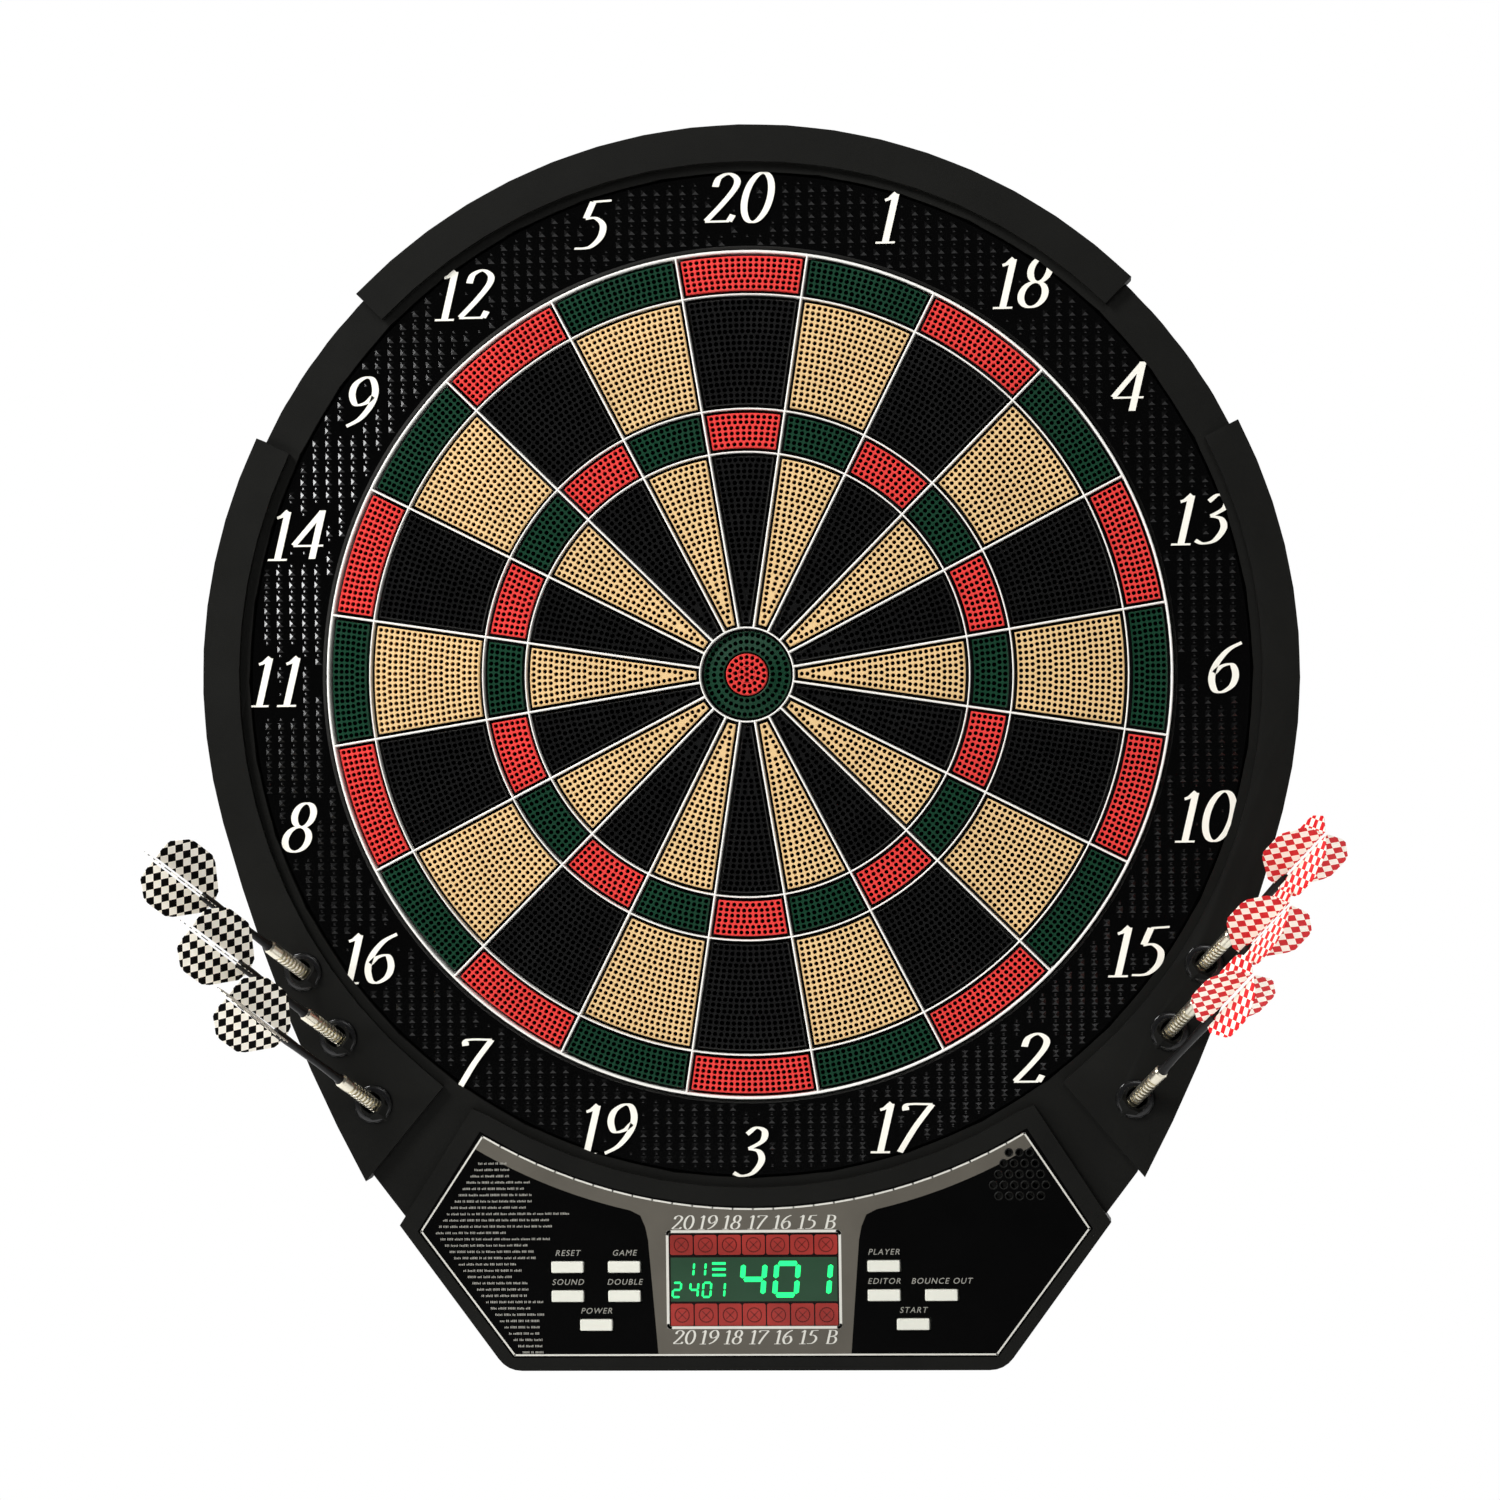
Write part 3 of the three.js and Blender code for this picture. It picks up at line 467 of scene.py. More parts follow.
def rounded_copy(node, material, slot, body, width, degrees=32):
    """A CAD node's own shape with its edges rounded as moulded ones are."""
    mesh = NODES[node].data.copy()
    mesh.name = node + "_moulded"
    solid = bmesh.new()
    solid.from_mesh(mesh)
    bmesh.ops.remove_doubles(solid, verts=solid.verts, dist=1e-6)
    flat = math.radians(0.6)
    bmesh.ops.dissolve_limit(solid, angle_limit=flat, verts=solid.verts, edges=solid.edges)
    round_arcs(solid)
    solid.to_mesh(mesh)
    solid.free()
    dress(mesh, material)
    shade(mesh, degrees)
    obj = placed(node + "_moulded", mesh)
    bevel = obj.modifiers.new("edges", "BEVEL")
    bevel.width = width
    bevel.segments = 2
    bevel.limit_method = "ANGLE"
    bevel.angle_limit = math.radians(degrees)
    bevel.use_clamp_overlap = True
    bevel.harden_normals = True
    return settle(obj, slot, body, node)


def flatten_normals(obj):
    """Makes each point's shading follow its largest faces, so that long flat faces stay even."""
    weigh = obj.modifiers.new("even", "WEIGHTED_NORMAL")
    weigh.keep_sharp = True
    weigh.weight = 100


rounded_copy("front_casing", CASING, "casing_plastic", "casing", 0.7 * MM)
REAR_COVER = rounded_copy("rear_cover", REAR, "rear_plastic", "casing", 0.5 * MM)
for key in KEY_LABELS:
    rounded_copy(f"button_{key}", BUTTON, "button_white", f"key_{key}", 0.6 * MM)
for node, material in {
    "rubber_mat": RUBBER, "sensor_sheet_front": FILM, "sensor_spacer": FILM, "sensor_sheet_rear": FILM,
    "backing_board": HARDBOARD, "display_window": LENS, "display_module": DARK, "key_pad": RUBBER,
    "main_board": BOARD, "speaker": DARK, "dc_jack": DARK,
}.items():
    dress(NODES[node].data, material)


# ---- Pierced segments ----

def pierce(sheet, corners, centre, angle, front, slot):
    """One cell of a pierced face: four corners, and a round hole with a wide mouth, a wall and a floor."""
    along, across = polar(1, angle), polar(1, angle + math.pi / 2)
    turns = [math.pi * (i + 0.5) / 4 for i in range(8)]
    around = [along * math.cos(t) + across * math.sin(t) for t in turns]
    verts = [p + Vector((0, front, 0)) for p in corners]
    for radius, depth in ((MOUTH_RADIUS, 0), (HOLE_RADIUS, MOUTH_DEPTH), (HOLE_RADIUS, HOLE_DEPTH)):
        verts += [centre + o * radius + Vector((0, front + depth, 0)) for o in around]
    faces = []
    for corner in range(4):
        following = (corner + 1) % 4
        first, second, third = 4 + 2 * corner, 5 + 2 * corner, 4 + (2 * corner + 2) % 8
        faces += [(corner, first, second), (corner, second, third, following)]
    for ring in (4, 12):
        faces += [(ring + i, ring + 8 + i, ring + 8 + (i + 1) % 8, ring + (i + 1) % 8) for i in range(8)]
    sheet.add(verts, faces, slot)
    # The hole's floor takes the third, dark material: painted shade at the bottom of the hole.
    sheet.add(verts[20:], [tuple(range(7, -1, -1))], 2)


def bed_edge(sheet, outline, inner_outline, front, rear, slot):
    """The rounded edge and the side wall of a bed, from its pierced face's outline down to the web."""
    count = len(outline)
    levels = [(inner_outline, front), (outline, front + BED_ROUND), (outline, rear)]
    verts = [Vector((p.x, y, p.z)) for points, y in levels for p in points]
    faces = []
    for level in range(2):
        for i in range(count):
            after = (i + 1) % count
            low, high = level * count, (level + 1) * count
            faces.append((low + i, high + i, high + after, low + after))
    sheet.add(verts, faces, slot)


def wedge_outline(inner, outer, side, middle, steps=14):
    """A bed's outline, counter-clockwise as a player sees it."""
    def reach(radius):
        return SECTOR / 2 - math.asin(min(1, side / radius))
    top = arc(outer, middle + reach(outer), middle - reach(outer), steps)
    return top + arc(inner, middle - reach(inner), middle + reach(inner), steps)


def pierced_bed(sheet, inner, outer, middle, slot):
    """A bed: rows of cells that meet along arcs, with their outer cells reaching the bed's rounded edge."""
    low, high = inner + BED_ROUND, outer - BED_ROUND
    side = LINE_CLEARANCE + BED_ROUND
    first, last = inner + BED_MARGIN, outer - BED_MARGIN
    rows = max(1, round((last - first) / HOLE_PITCH))
    pitch = (last - first) / rows

    def half_angle(radius, margin):
        return max(0.0, SECTOR / 2 - math.asin((LINE_CLEARANCE + margin) / radius))

    for row in range(rows + 1):
        radius = first + pitch * row
        below = low if row == 0 else radius - pitch / 2
        above = high if row == rows else radius + pitch / 2
        reach = half_angle(radius, BED_MARGIN)
        gaps = int(2 * reach * radius / HOLE_PITCH + 0.15)
        step = 2 * reach / gaps if gaps else 0.0
        for i in range(gaps + 1):
            angle = middle + (i - gaps / 2) * step
            spans = []
            for r in (below, above):
                edge = half_angle(r, BED_ROUND)
                left = angle - step / 2 if i else middle - edge
                right = angle + step / 2 if i < gaps else middle + edge
                spans.append((polar(r, left), polar(r, right)))
            corners = [spans[1][1], spans[0][1], spans[0][0], spans[1][0]]
            pierce(sheet, corners, polar(radius, angle), angle, SEGMENT_FRONT, slot)
    outline = wedge_outline(inner, outer, LINE_CLEARANCE, middle)
    bed_edge(sheet, outline, wedge_outline(low, high, side, middle), SEGMENT_FRONT, WEB_FRONT, slot)


BEDS = [
    (BULL_LINE + LINE_CLEARANCE, TREBLE_INNER - LINE_CLEARANCE, 0),
    (TREBLE_INNER + LINE_CLEARANCE, TREBLE_OUTER - LINE_CLEARANCE, 1),
    (TREBLE_OUTER + LINE_CLEARANCE, DOUBLE_LINE - LINE_CLEARANCE, 0),
    (DOUBLE_LINE + LINE_CLEARANCE, DOUBLE_OUTER - 1 * MM, 1),
]


def make_sector(index, number):
    dark = index % 2 == 0
    middle = index * SECTOR
    sheet = Sheet()
    for inner, outer, slot in BEDS:
        pierced_bed(sheet, inner, outer, middle, slot)
    web = wedge_outline(BULL_LINE + 2 * MM, DOUBLE_OUTER - 1 * MM, LINE_CLEARANCE, middle)
    # The web behind the gaps takes the dark material too: painted shade in the gaps beside the wires.
    sheet.prism(web, WEB_FRONT, WEB_REAR, 2)
    # The third material is dark painted shade for the hole floors and the web.
    colours = [BLACK, RED, DARK] if dark else [TAN, GREEN, DARK]
    obj = sheet.build(f"pierced_{number:02d}", colours)
    settle(obj, "segment_black" if dark else "segment_tan", f"number_{number:02d}", f"sector_{number:02d}")


def pierced_rings(sheet, low, high, first, last, front):
    """Full circles of cells between two radii."""
    rows = max(1, round((last - first) / HOLE_PITCH))
    pitch = (last - first) / rows
    for row in range(rows + 1):
        radius = first + pitch * row
        below = low if row == 0 else radius - pitch / 2
        above = high if row == rows else radius + pitch / 2
        count = round(2 * math.pi * radius / HOLE_PITCH)
        half = math.pi / count
        for i in range(count):
            angle = 2 * half * i
            corners = [polar(above, angle + half), polar(below, angle + half),
                       polar(below, angle - half), polar(above, angle - half)]
            pierce(sheet, corners, polar(radius, angle), angle, front, 0)


def make_bulls():
    inner, outer = OUTER_BULL
    sheet = Sheet()
    edges = (inner + BED_ROUND, outer - BED_ROUND)
    pierced_rings(sheet, *edges, inner + BED_MARGIN, outer - BED_MARGIN, SEGMENT_FRONT)
    shell = [(inner + BED_ROUND, SEGMENT_FRONT), (inner, SEGMENT_FRONT + BED_ROUND), (inner, WEB_REAR),
             (outer, WEB_REAR), (outer, SEGMENT_FRONT + BED_ROUND), (outer - BED_ROUND, SEGMENT_FRONT)]
    sheet.turned(shell, sides=72, closed=False)
    for point in sheet.verts:
        if point.y < WEB_FRONT:
            point.y += OUTER_BULL_FALL * (math.hypot(point.x, point.z) - inner) / (outer - inner)
    # The dark third material paints shade on the hole floors.
    bull = sheet.build("pierced_outer_bull", [GREEN, GREEN, DARK])
    settle(bull, "segment_green", "bull_outer", "outer_bull")

    sheet = Sheet()
    hub = HOLE_PITCH / 2
    pierced_rings(sheet, hub, INNER_BULL - BED_ROUND, HOLE_PITCH, INNER_BULL - BED_MARGIN, SEGMENT_FRONT)
    wall, floor = SEGMENT_FRONT + MOUTH_DEPTH, SEGMENT_FRONT + HOLE_DEPTH
    middle_hole = [(hub, SEGMENT_FRONT), (MOUTH_RADIUS, SEGMENT_FRONT), (HOLE_RADIUS, wall),
                   (HOLE_RADIUS, floor), (0, floor)]
    sheet.turned(middle_hole, sides=12, closed=False)
    shell = [(INNER_BULL - BED_ROUND, SEGMENT_FRONT), (INNER_BULL, SEGMENT_FRONT + BED_ROUND),
             (INNER_BULL, WEB_REAR), (0, WEB_REAR)]
    sheet.turned(shell, sides=60, closed=False)
    # The dark third material paints shade on the hole floors.
    bull = sheet.build("pierced_inner_bull", [RED, RED, DARK])
    settle(bull, "segment_red", "bull_inner", "inner_bull")


for place, value in enumerate(NUMBERS):
    make_sector(place, value)
make_bulls()


# ---- Spider ----

CREST_HALF = 0.75


def crest(half, front, rear, middle=0.0):
    """The section of a wire: straight sides and a rounded front."""
    turns = [math.pi * i / 6 for i in range(7)]
    top_half = CREST_HALF * half
    top = [(middle - top_half * math.cos(t), front + top_half * (1 - math.sin(t))) for t in turns]
    return [(middle - half, rear), *top, (middle + half, rear)]


def make_spider():
    sheet = Sheet()
    for line in (DOUBLE_LINE, TREBLE_OUTER, TREBLE_INNER, BULL_LINE):
        sheet.turned(crest(HALF_ARC, SPIDER_FRONT, WALL_REAR, line))
    half_rim = (RIM[1] - RIM[0]) / 2
    sheet.turned(crest(half_rim, SPIDER_FRONT, SPIDER_REAR, RIM[0] + half_rim))
    section = crest(HALF_LINE, SPIDER_FRONT, WALL_REAR)
    count = len(section)
    for i in range(20):
        angle = (i + 0.5) * SECTOR
        across = polar(1, angle + math.pi / 2)
        verts = [polar(r, angle, y) + across * x for r in (BULL_LINE, RIM[0] + half_rim) for x, y in section]
        faces = [(j, j + 1, count + j + 1, count + j) for j in range(count - 1)]
        sheet.add(verts, faces + [tuple(range(count)), tuple(range(2 * count - 1, count - 1, -1))])
    settle(outward(sheet.build("spider_wires", [SPIDER], 40)), "spider_white", "casing", "spider")


make_spider()


# ---- Number ring ----

def make_ring():
    inside, outside, below = RING_INNER + RING_WALL, RING_OUTER - RING_WALL, RING_FRONT + RING_EDGE
    sheet = Sheet()
    sheet.turned([
        (RING_INNER, RING_REAR), (RING_INNER, below), (RING_INNER + RING_EDGE, RING_FRONT),
        (RING_OUTER - RING_EDGE, RING_FRONT), (RING_OUTER, below), (RING_OUTER, LIP_FRONT),
        (RING_LIP, LIP_FRONT), (RING_LIP, LIP_REAR), (outside, LIP_REAR),
        (outside, RING_INSIDE), (inside, RING_INSIDE), (inside, RING_REAR),
    ])
    settle(outward(sheet.build("number_ring", [RING], 30)), "ring_gloss", "casing", "catch_ring")


def pyramid(sheet, spot, half, height):
    base = [spot + Vector((a * half, RING_FRONT, b * half)) for a, b in ((-1, -1), (1, -1), (1, 1), (-1, 1))]
    peak = spot + Vector((0, RING_FRONT - height, 0))
    sheet.add(base + [peak], [(0, 1, 4), (1, 2, 4), (2, 3, 4), (3, 0, 4)])


def make_bumps(figure_points):
    """Square pyramids on a straight grid with a smaller one under each, left out where the figures are."""
    taken = KDTree(len(figure_points))
    for i, point in enumerate(figure_points):
        taken.insert(point, i)
    taken.balance()
    sheet = Sheet()
    steps = int(RING_OUTER / BUMP_PITCH) + 1
    nearest, farthest = BUMP_ZONE
    for i in range(-steps, steps):
        for j in range(-steps, steps):
            for drop, scale in ((0.0, 1.0), (BUMP_PITCH / 2, SMALL_BUMP)):
                spot = Vector(((i + 0.5) * BUMP_PITCH, 0, (j + 0.5) * BUMP_PITCH - drop))
                if not nearest < spot.length < farthest:
                    continue
                if taken.find(spot)[2] < FIGURE_MARGIN * (0.5 + 0.5 * scale):
                    continue
                pyramid(sheet, spot, BUMP_HALF * scale, BUMP_HEIGHT * scale)
    settle(sheet.build("ring_pyramids", [PYRAMID]), "ring_gloss")


# ---- Figures, drawn as with a broad pen ----

def oval(x, z, half_width, half_height, points=14):
    turns = [2 * math.pi * i / points for i in range(points + 1)]
    return [(x + half_width * math.sin(t), z + half_height * math.cos(t)) for t in turns]


# Each figure is a list of pen strokes in a box one unit high, before it is slanted.
STROKES = {
    "0": [oval(0.29, 0.5, 0.21, 0.465)],
    "1": [[(0.28, 0.94), (0.28, 0.04)], [(0.12, 0.83), (0.2, 0.87), (0.28, 0.96)],
          [(0.12, 0.03), (0.44, 0.03)]],
    "2": [[(0.1, 0.72), (0.13, 0.88), (0.28, 0.96), (0.43, 0.86), (0.44, 0.7), (0.3, 0.42), (0.07, 0.07)],
          [(0.06, 0.06), (0.46, 0.06)], [(0.46, 0.06), (0.5, 0.18)]],
    "3": [[(0.12, 0.83), (0.25, 0.95), (0.4, 0.88), (0.4, 0.7), (0.2, 0.55)],
          [(0.2, 0.55), (0.38, 0.5), (0.46, 0.32), (0.36, 0.1), (0.18, 0.04), (0.04, 0.1)]],
    "4": [[(0.4, 0.96), (0.4, 0.04)], [(0.4, 0.94), (0.04, 0.3)], [(0.04, 0.29), (0.54, 0.29)]],
    "5": [[(0.18, 0.93), (0.48, 0.95)], [(0.18, 0.93), (0.12, 0.62)],
          [(0.12, 0.61), (0.28, 0.62), (0.43, 0.48), (0.43, 0.25), (0.28, 0.07), (0.04, 0.05)]],
    "6": [[(0.44, 0.96), (0.24, 0.82), (0.1, 0.56), (0.08, 0.3), (0.17, 0.08), (0.3, 0.04),
           (0.44, 0.16), (0.46, 0.36), (0.36, 0.55), (0.2, 0.52), (0.1, 0.4)]],
    "7": [[(0.08, 0.82), (0.1, 0.93), (0.5, 0.93)], [(0.5, 0.93), (0.3, 0.5), (0.14, 0.03)]],
    "8": [oval(0.3, 0.73, 0.155, 0.225), oval(0.27, 0.27, 0.195, 0.235)],
    "9": [[(0.12, 0.04), (0.32, 0.18), (0.46, 0.44), (0.48, 0.7), (0.39, 0.92), (0.26, 0.96),
           (0.12, 0.84), (0.1, 0.64), (0.2, 0.45), (0.36, 0.48), (0.46, 0.6)]],
    "B": [[(0.12, 0.95), (0.12, 0.05)], [(0.04, 0.95), (0.3, 0.95), (0.44, 0.84), (0.42, 0.62), (0.14, 0.52)],
          [(0.14, 0.52), (0.4, 0.5), (0.5, 0.28), (0.38, 0.06), (0.04, 0.05)]],
}
ADVANCE, COMMON_ADVANCE = {"1": 0.53}, 0.64
WIDEN = 1.14
SLANT = 0.24
BROAD, NARROW = 0.112, 0.036
STROKE_LAYER = 0.004 * MM


def smooth_path(points, steps=7):
    """A Catmull-Rom curve through the points."""
    spots = [Vector(p) for p in points]
    if len(spots) == 2:
        return [spots[0].lerp(spots[1], i / steps) for i in range(steps + 1)]
    closed = (spots[0] - spots[-1]).length < 1e-6
    before, after = (spots[-2], spots[1]) if closed else (spots[0], spots[-1])
    spots = [before, *spots, after]
    path = []
    for a, b, c, d in zip(spots, spots[1:], spots[2:], spots[3:]):
        for i in range(steps):
            t = i / steps
            path.append(0.5 * (2 * b + (c - a) * t + (2 * a - 5 * b + 4 * c - d) * t * t
                               + (3 * b - a - 3 * c + d) * t ** 3))
    return path + [spots[-2]]


def pen_stroke(sheet, points, corner, height, front, rear, widen):
    """One stroke: wide where the pen moves down and narrow where it moves sideways."""
    path = smooth_path(points)
    rims = ([], [])
    for i, p in enumerate(path):
        going = (path[min(i + 1, len(path) - 1)] - path[max(i - 1, 0)]).normalized()
        width = NARROW + (BROAD - NARROW) * abs(going.y) ** 1.6
        for rim, side in zip(rims, (1, -1)):
            spot = p + Vector((-going.y, going.x)) * side * width / 2
            slanted = widen * spot.x + SLANT * (spot.y - 0.5)
            rim.append(corner + Vector((slanted * height, 0, spot.y * height)))
    count = len(path)
    verts = [Vector((p.x, y, p.z)) for y in (front, rear) for rim in rims for p in rim]
    faces = []
    for i in range(count - 1):
        faces += [(i, count + i, count + i + 1, i + 1), (i, i + 1, 2 * count + i + 1, 2 * count + i),
                  (count + i, 3 * count + i, 3 * count + i + 1, count + i + 1)]
    for i in (0, count - 1):
        faces.append((i, 2 * count + i, 3 * count + i, count + i))
    sheet.add(verts, faces)


def draw_text(sheet, text, centre, height, front, rear, widen=WIDEN):
    """Draws the figures and gives back points all along their strokes."""
    drawn = len(sheet.verts)
    widths = [ADVANCE.get(letter, COMMON_ADVANCE) * height * widen / WIDEN for letter in text]
    corner = centre - Vector((sum(widths) / 2, 0, height / 2))
    for letter, width in zip(text, widths):
        for i, stroke in enumerate(STROKES[letter]):
            pen_stroke(sheet, stroke, corner, height, front - i * STROKE_LAYER, rear, widen)
        corner = corner + Vector((width, 0, 0))
    return [Vector((p.x, 0, p.z)) for p in sheet.verts[drawn:]]


def make_numbers():
    points = []
    for i, number in enumerate(NUMBERS):
        sheet = Sheet()
        centre = polar(NUMBER_RADIUS, i * SECTOR)
        points += draw_text(sheet, str(number), centre, NUMBER_HEIGHT, RING_FRONT - NUMBER_RISE, RING_FRONT)
        settle(outward(sheet.build(f"figure_{number:02d}", [NUMBER])), "number_print")
    return points


make_ring()
make_bumps(make_numbers())


# ---- Console ----

INK = 0.04 * MM
PANEL_REAR = -37 * MM
KEY_OPENING = (16.1 * MM, 6.3 * MM, 0.8 * MM)
WINDOW_OPENING = (78.8 * MM, 43 * MM)
WINDOW_FRAME = (80.2 * MM, 44.6 * MM, 1.2 * MM)
BORDER_WIDTH = 0.8 * MM
WINDOW_FRAME_WIDTH = 1.2 * MM
TALLY_NAMES = ("20", "19", "18", "17", "16", "15", "B")
TALLY_PLACES = (-32.5, -21.2, -10, 1.8, 13.4, 25, 36)
TALLY_HEIGHTS = (-253.8, -307.0)
TALLY_SIZE, TALLY_WIDEN = 6.8 * MM, 1.36
LABEL_RISE, LABEL_SIZE = 6.4 * MM, 3.8 * MM
PANEL_CORNERS = millimetres([(127, -211.6), (156.4, -257.4), (112.5, -316)])
BORDER_CORNERS = millimetres([(125.9, -213.4), (155.2, -257.4), (112, -315.2)])
BORDER_ARC = 247.8 * MM
BAND_ARC = 254.6 * MM
BORDER_REACH = math.radians(149.5)
BAND_REACH = (math.radians(149.4), math.radians(167))
GREY_SIDE = millimetres([(52.5, -250.5), (50.2, -256), (49, -262), (44.8, -315.2)])


def box_outline(centre, width, height, radius=0.0, steps=4):
    """A rectangle, with round corners if a radius is given."""
    half_w, half_h = width / 2 - radius, height / 2 - radius
    outline = []
    for quarter, (a, b) in enumerate(((1, 1), (1, -1), (-1, -1), (-1, 1))):
        corner = Vector((centre.x + a * half_w, 0, centre.z + b * half_h))
        if radius == 0:
            outline.append(corner)
            continue
        start = quarter * math.pi / 2
        outline += [corner + o for o in arc(radius, start, start + math.pi / 2, steps)]
    return outline


def disc_outline(centre, radius, sides=20):
    return [centre + polar(radius, 2 * math.pi * i / sides) for i in range(sides)]


def speaker_holes():
    """The centres of the grille's holes, row by row."""
    centres = []
    for row, count in enumerate(SPEAKER_ROWS):
        z = SPEAKER_CENTRE[1] + (2 - row) * SPEAKER_PITCH[1]
        for i in range(count):
            x = SPEAKER_CENTRE[0] + (i - (count - 1) / 2) * SPEAKER_PITCH[0]
            centres.append(Vector((x * MM, 0, z * MM)))
    return centres


def carve(obj, cutter):
    """Cuts one closed shape out of another."""
    solid = bmesh.new()
    solid.from_mesh(obj.data)
    bmesh.ops.remove_doubles(solid, verts=solid.verts, dist=0.0001 * MM)
    bmesh.ops.recalc_face_normals(solid, faces=solid.faces)
    solid.to_mesh(obj.data)
    solid.free()
    cut = obj.modifiers.new("details", "BOOLEAN")
    cut.operation = "DIFFERENCE"
    cut.solver = "EXACT"
    cut.object = cutter
    mesh = final_mesh(obj)
    obj.modifiers.clear()
    obj.data = mesh
    bpy.data.objects.remove(cutter)


def panel_outline(right, steps=28):
    """An edge through its right-hand corners: the arc of its top, then its slanted sides and its bottom."""
    apex = right[0]
    reach = math.atan2(apex.x, apex.z)
    top = arc(apex.length, 2 * math.pi - reach, reach, steps)
    return [*right, *mirrored(right), *top[1:-1]]


def ribbon(sheet, points, width, front, rear, closed=False):
    """A printed line of even width."""
    count = len(points)
    pairs = range(count if closed else count - 1)
    for i in pairs:
        a, b = points[i], points[(i + 1) % count]
        going = (b - a).normalized()
        across = Vector((-going.z, 0, going.x)) * width / 2
        reach = going * width * 0.45
        a, b = a - reach, b + reach
        sheet.prism([a - across, b - across, b + across, a + across], front, rear)


def make_panel():
    keys = []
    for key in KEY_LABELS:
        low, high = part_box(f"button_{key}")
        keys.append(((low + high) / 2, key))
    holes = [box_outline(centre, *KEY_OPENING) for centre, _ in keys]
    holes.append(box_outline(DISPLAY_CENTRE, *WINDOW_OPENING))
    holes += [disc_outline(centre, SPEAKER_HOLE) for centre in speaker_holes()]
    panel = plate("panel_overlay", [panel_outline(PANEL_CORNERS), *holes], PANEL_FRONT, PANEL_REAR, PANEL)
    settle(panel, "panel_print", "casing", "control_panel")
    rims = Sheet()
    outer, rise = SPEAKER_RIM
    profile = [(SPEAKER_HOLE, PANEL_FRONT), (SPEAKER_HOLE, PANEL_FRONT - rise * 0.6),
               (SPEAKER_HOLE + rise * 0.6, PANEL_FRONT - rise), (outer - rise, PANEL_FRONT - rise * 0.8),
               (outer, PANEL_FRONT)]
    for centre in speaker_holes():
        rims.turned(profile, centre, 24)
    settle(outward(rims.build("speaker_rims", [CASING], 40)), "casing_plastic")
    return keys


def make_print(keys):
    right_zone = [*arc(BAND_ARC, *BAND_REACH, 12), *GREY_SIDE]
    top = arc(BORDER_ARC, 2 * math.pi - BORDER_REACH, BORDER_REACH, 30)
    grey_edge = [*top, *right_zone, *mirrored(right_zone)]
    zone = plate("panel_grey_zone", [grey_edge, box_outline(DISPLAY_CENTRE, *WINDOW_OPENING)],
                 PANEL_FRONT - INK, PANEL_FRONT, GREY)
    cutter = Sheet()
    for centre in speaker_holes():
        cutter.prism(disc_outline(centre, SPEAKER_HOLE), PANEL_FRONT - 1 * MM, PANEL_FRONT + 1 * MM)
    carve(zone, outward(cutter.build("grille_cutter", [GREY])))
    settle(zone, "panel_print")

    sheet = Sheet()
    front, rear = PANEL_FRONT - 2 * INK, PANEL_FRONT
    ribbon(sheet, panel_outline(BORDER_CORNERS), BORDER_WIDTH, front, rear, closed=True)
    ribbon(sheet, box_outline(DISPLAY_CENTRE, *WINDOW_FRAME), WINDOW_FRAME_WIDTH, front, rear, closed=True)
    for z in TALLY_HEIGHTS:
        for text, x in zip(TALLY_NAMES, TALLY_PLACES):
            draw_text(sheet, text, Vector((x * MM, 0, z * MM)), TALLY_SIZE, front, rear, TALLY_WIDEN)
    print_list(sheet, front, rear)
    settle(outward(sheet.build("panel_lines", [WHITE_INK, FINE_INK])), "panel_print")
    for centre, key in keys:
        label(KEY_LABELS[key], centre + Vector((0, 0, LABEL_RISE)), LABEL_SIZE, key)


# The list of games, in millimetres. Its left edge follows the panel's slanted side, out and then back in.
LIST_TOP, LIST_ROWS, LIST_PITCH = -226, 31, 2.93
LIST_CORNER = (-148.5, -258)
LIST_START, LIST_LEAN_OUT, LIST_LEAN_IN = -128, 0.64, 0.72
LIST_GROWING_ROWS = 8
MARK_SIZES = ((0.34, 1.0), (0.5, 1.0), (0.5, 0.72))
MARK_GAP, WORD_GAP = 0.27, 0.6


def print_list(sheet, front, rear):
    """Rows of plain marks, the size of small print, in groups like words."""
    rng = random.Random(7)
    for row in range(LIST_ROWS):
        z = LIST_TOP - LIST_PITCH * row
        if z > LIST_CORNER[1]:
            start = LIST_START - LIST_LEAN_OUT * LIST_PITCH * row
        else:
            start = LIST_CORNER[0] + LIST_LEAN_IN * (LIST_CORNER[1] - z)
        longest = 20 + 5 * row if row < LIST_GROWING_ROWS else 58 - 2.2 * (row - LIST_GROWING_ROWS)
        reach = start + longest * (0.55 + 0.45 * rng.random())
        x = start
        while x < reach:
            for _ in range(rng.randint(2, 6)):
                wide, high = rng.choice(MARK_SIZES)
                mark = Vector(((x + wide / 2) * MM, 0, (z - (1 - high) / 2) * MM))
                sheet.prism(box_outline(mark, wide * MM, high * MM), front, rear, 1)
                x += wide + MARK_GAP
            x += WORD_GAP


def label(text, centre, size, key):
    """A small printed word."""
    curve = bpy.data.curves.new(f"label_{key}", "FONT")
    curve.body = text
    curve.size = size
    curve.space_character = 1.2
    curve.shear = 0.25
    curve.align_x = "CENTER"
    curve.align_y = "CENTER"
    curve.extrude = INK / 2
    source = placed(f"label_{key}_text", curve)
    mesh = final_mesh(source)
    bpy.data.objects.remove(source)
    turn = Matrix.Translation((centre.x, PANEL_FRONT - INK, centre.z)) @ Matrix.Rotation(math.pi / 2, 4, "X")
    mesh.transform(turn)
    dress(mesh, FINE_INK)
    settle(placed(f"label_{key}", mesh), "panel_print")


# ---- Display ----

WINDOW_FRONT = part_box("display_window")[0].y
SEGMENTS = {"0": "abcdef", "1": "bc", "2": "abged", "4": "fgbc"}
BAR_GAP = 0.18
FIGURE_LEAN = 0.09
FOIL = 0.03 * MM
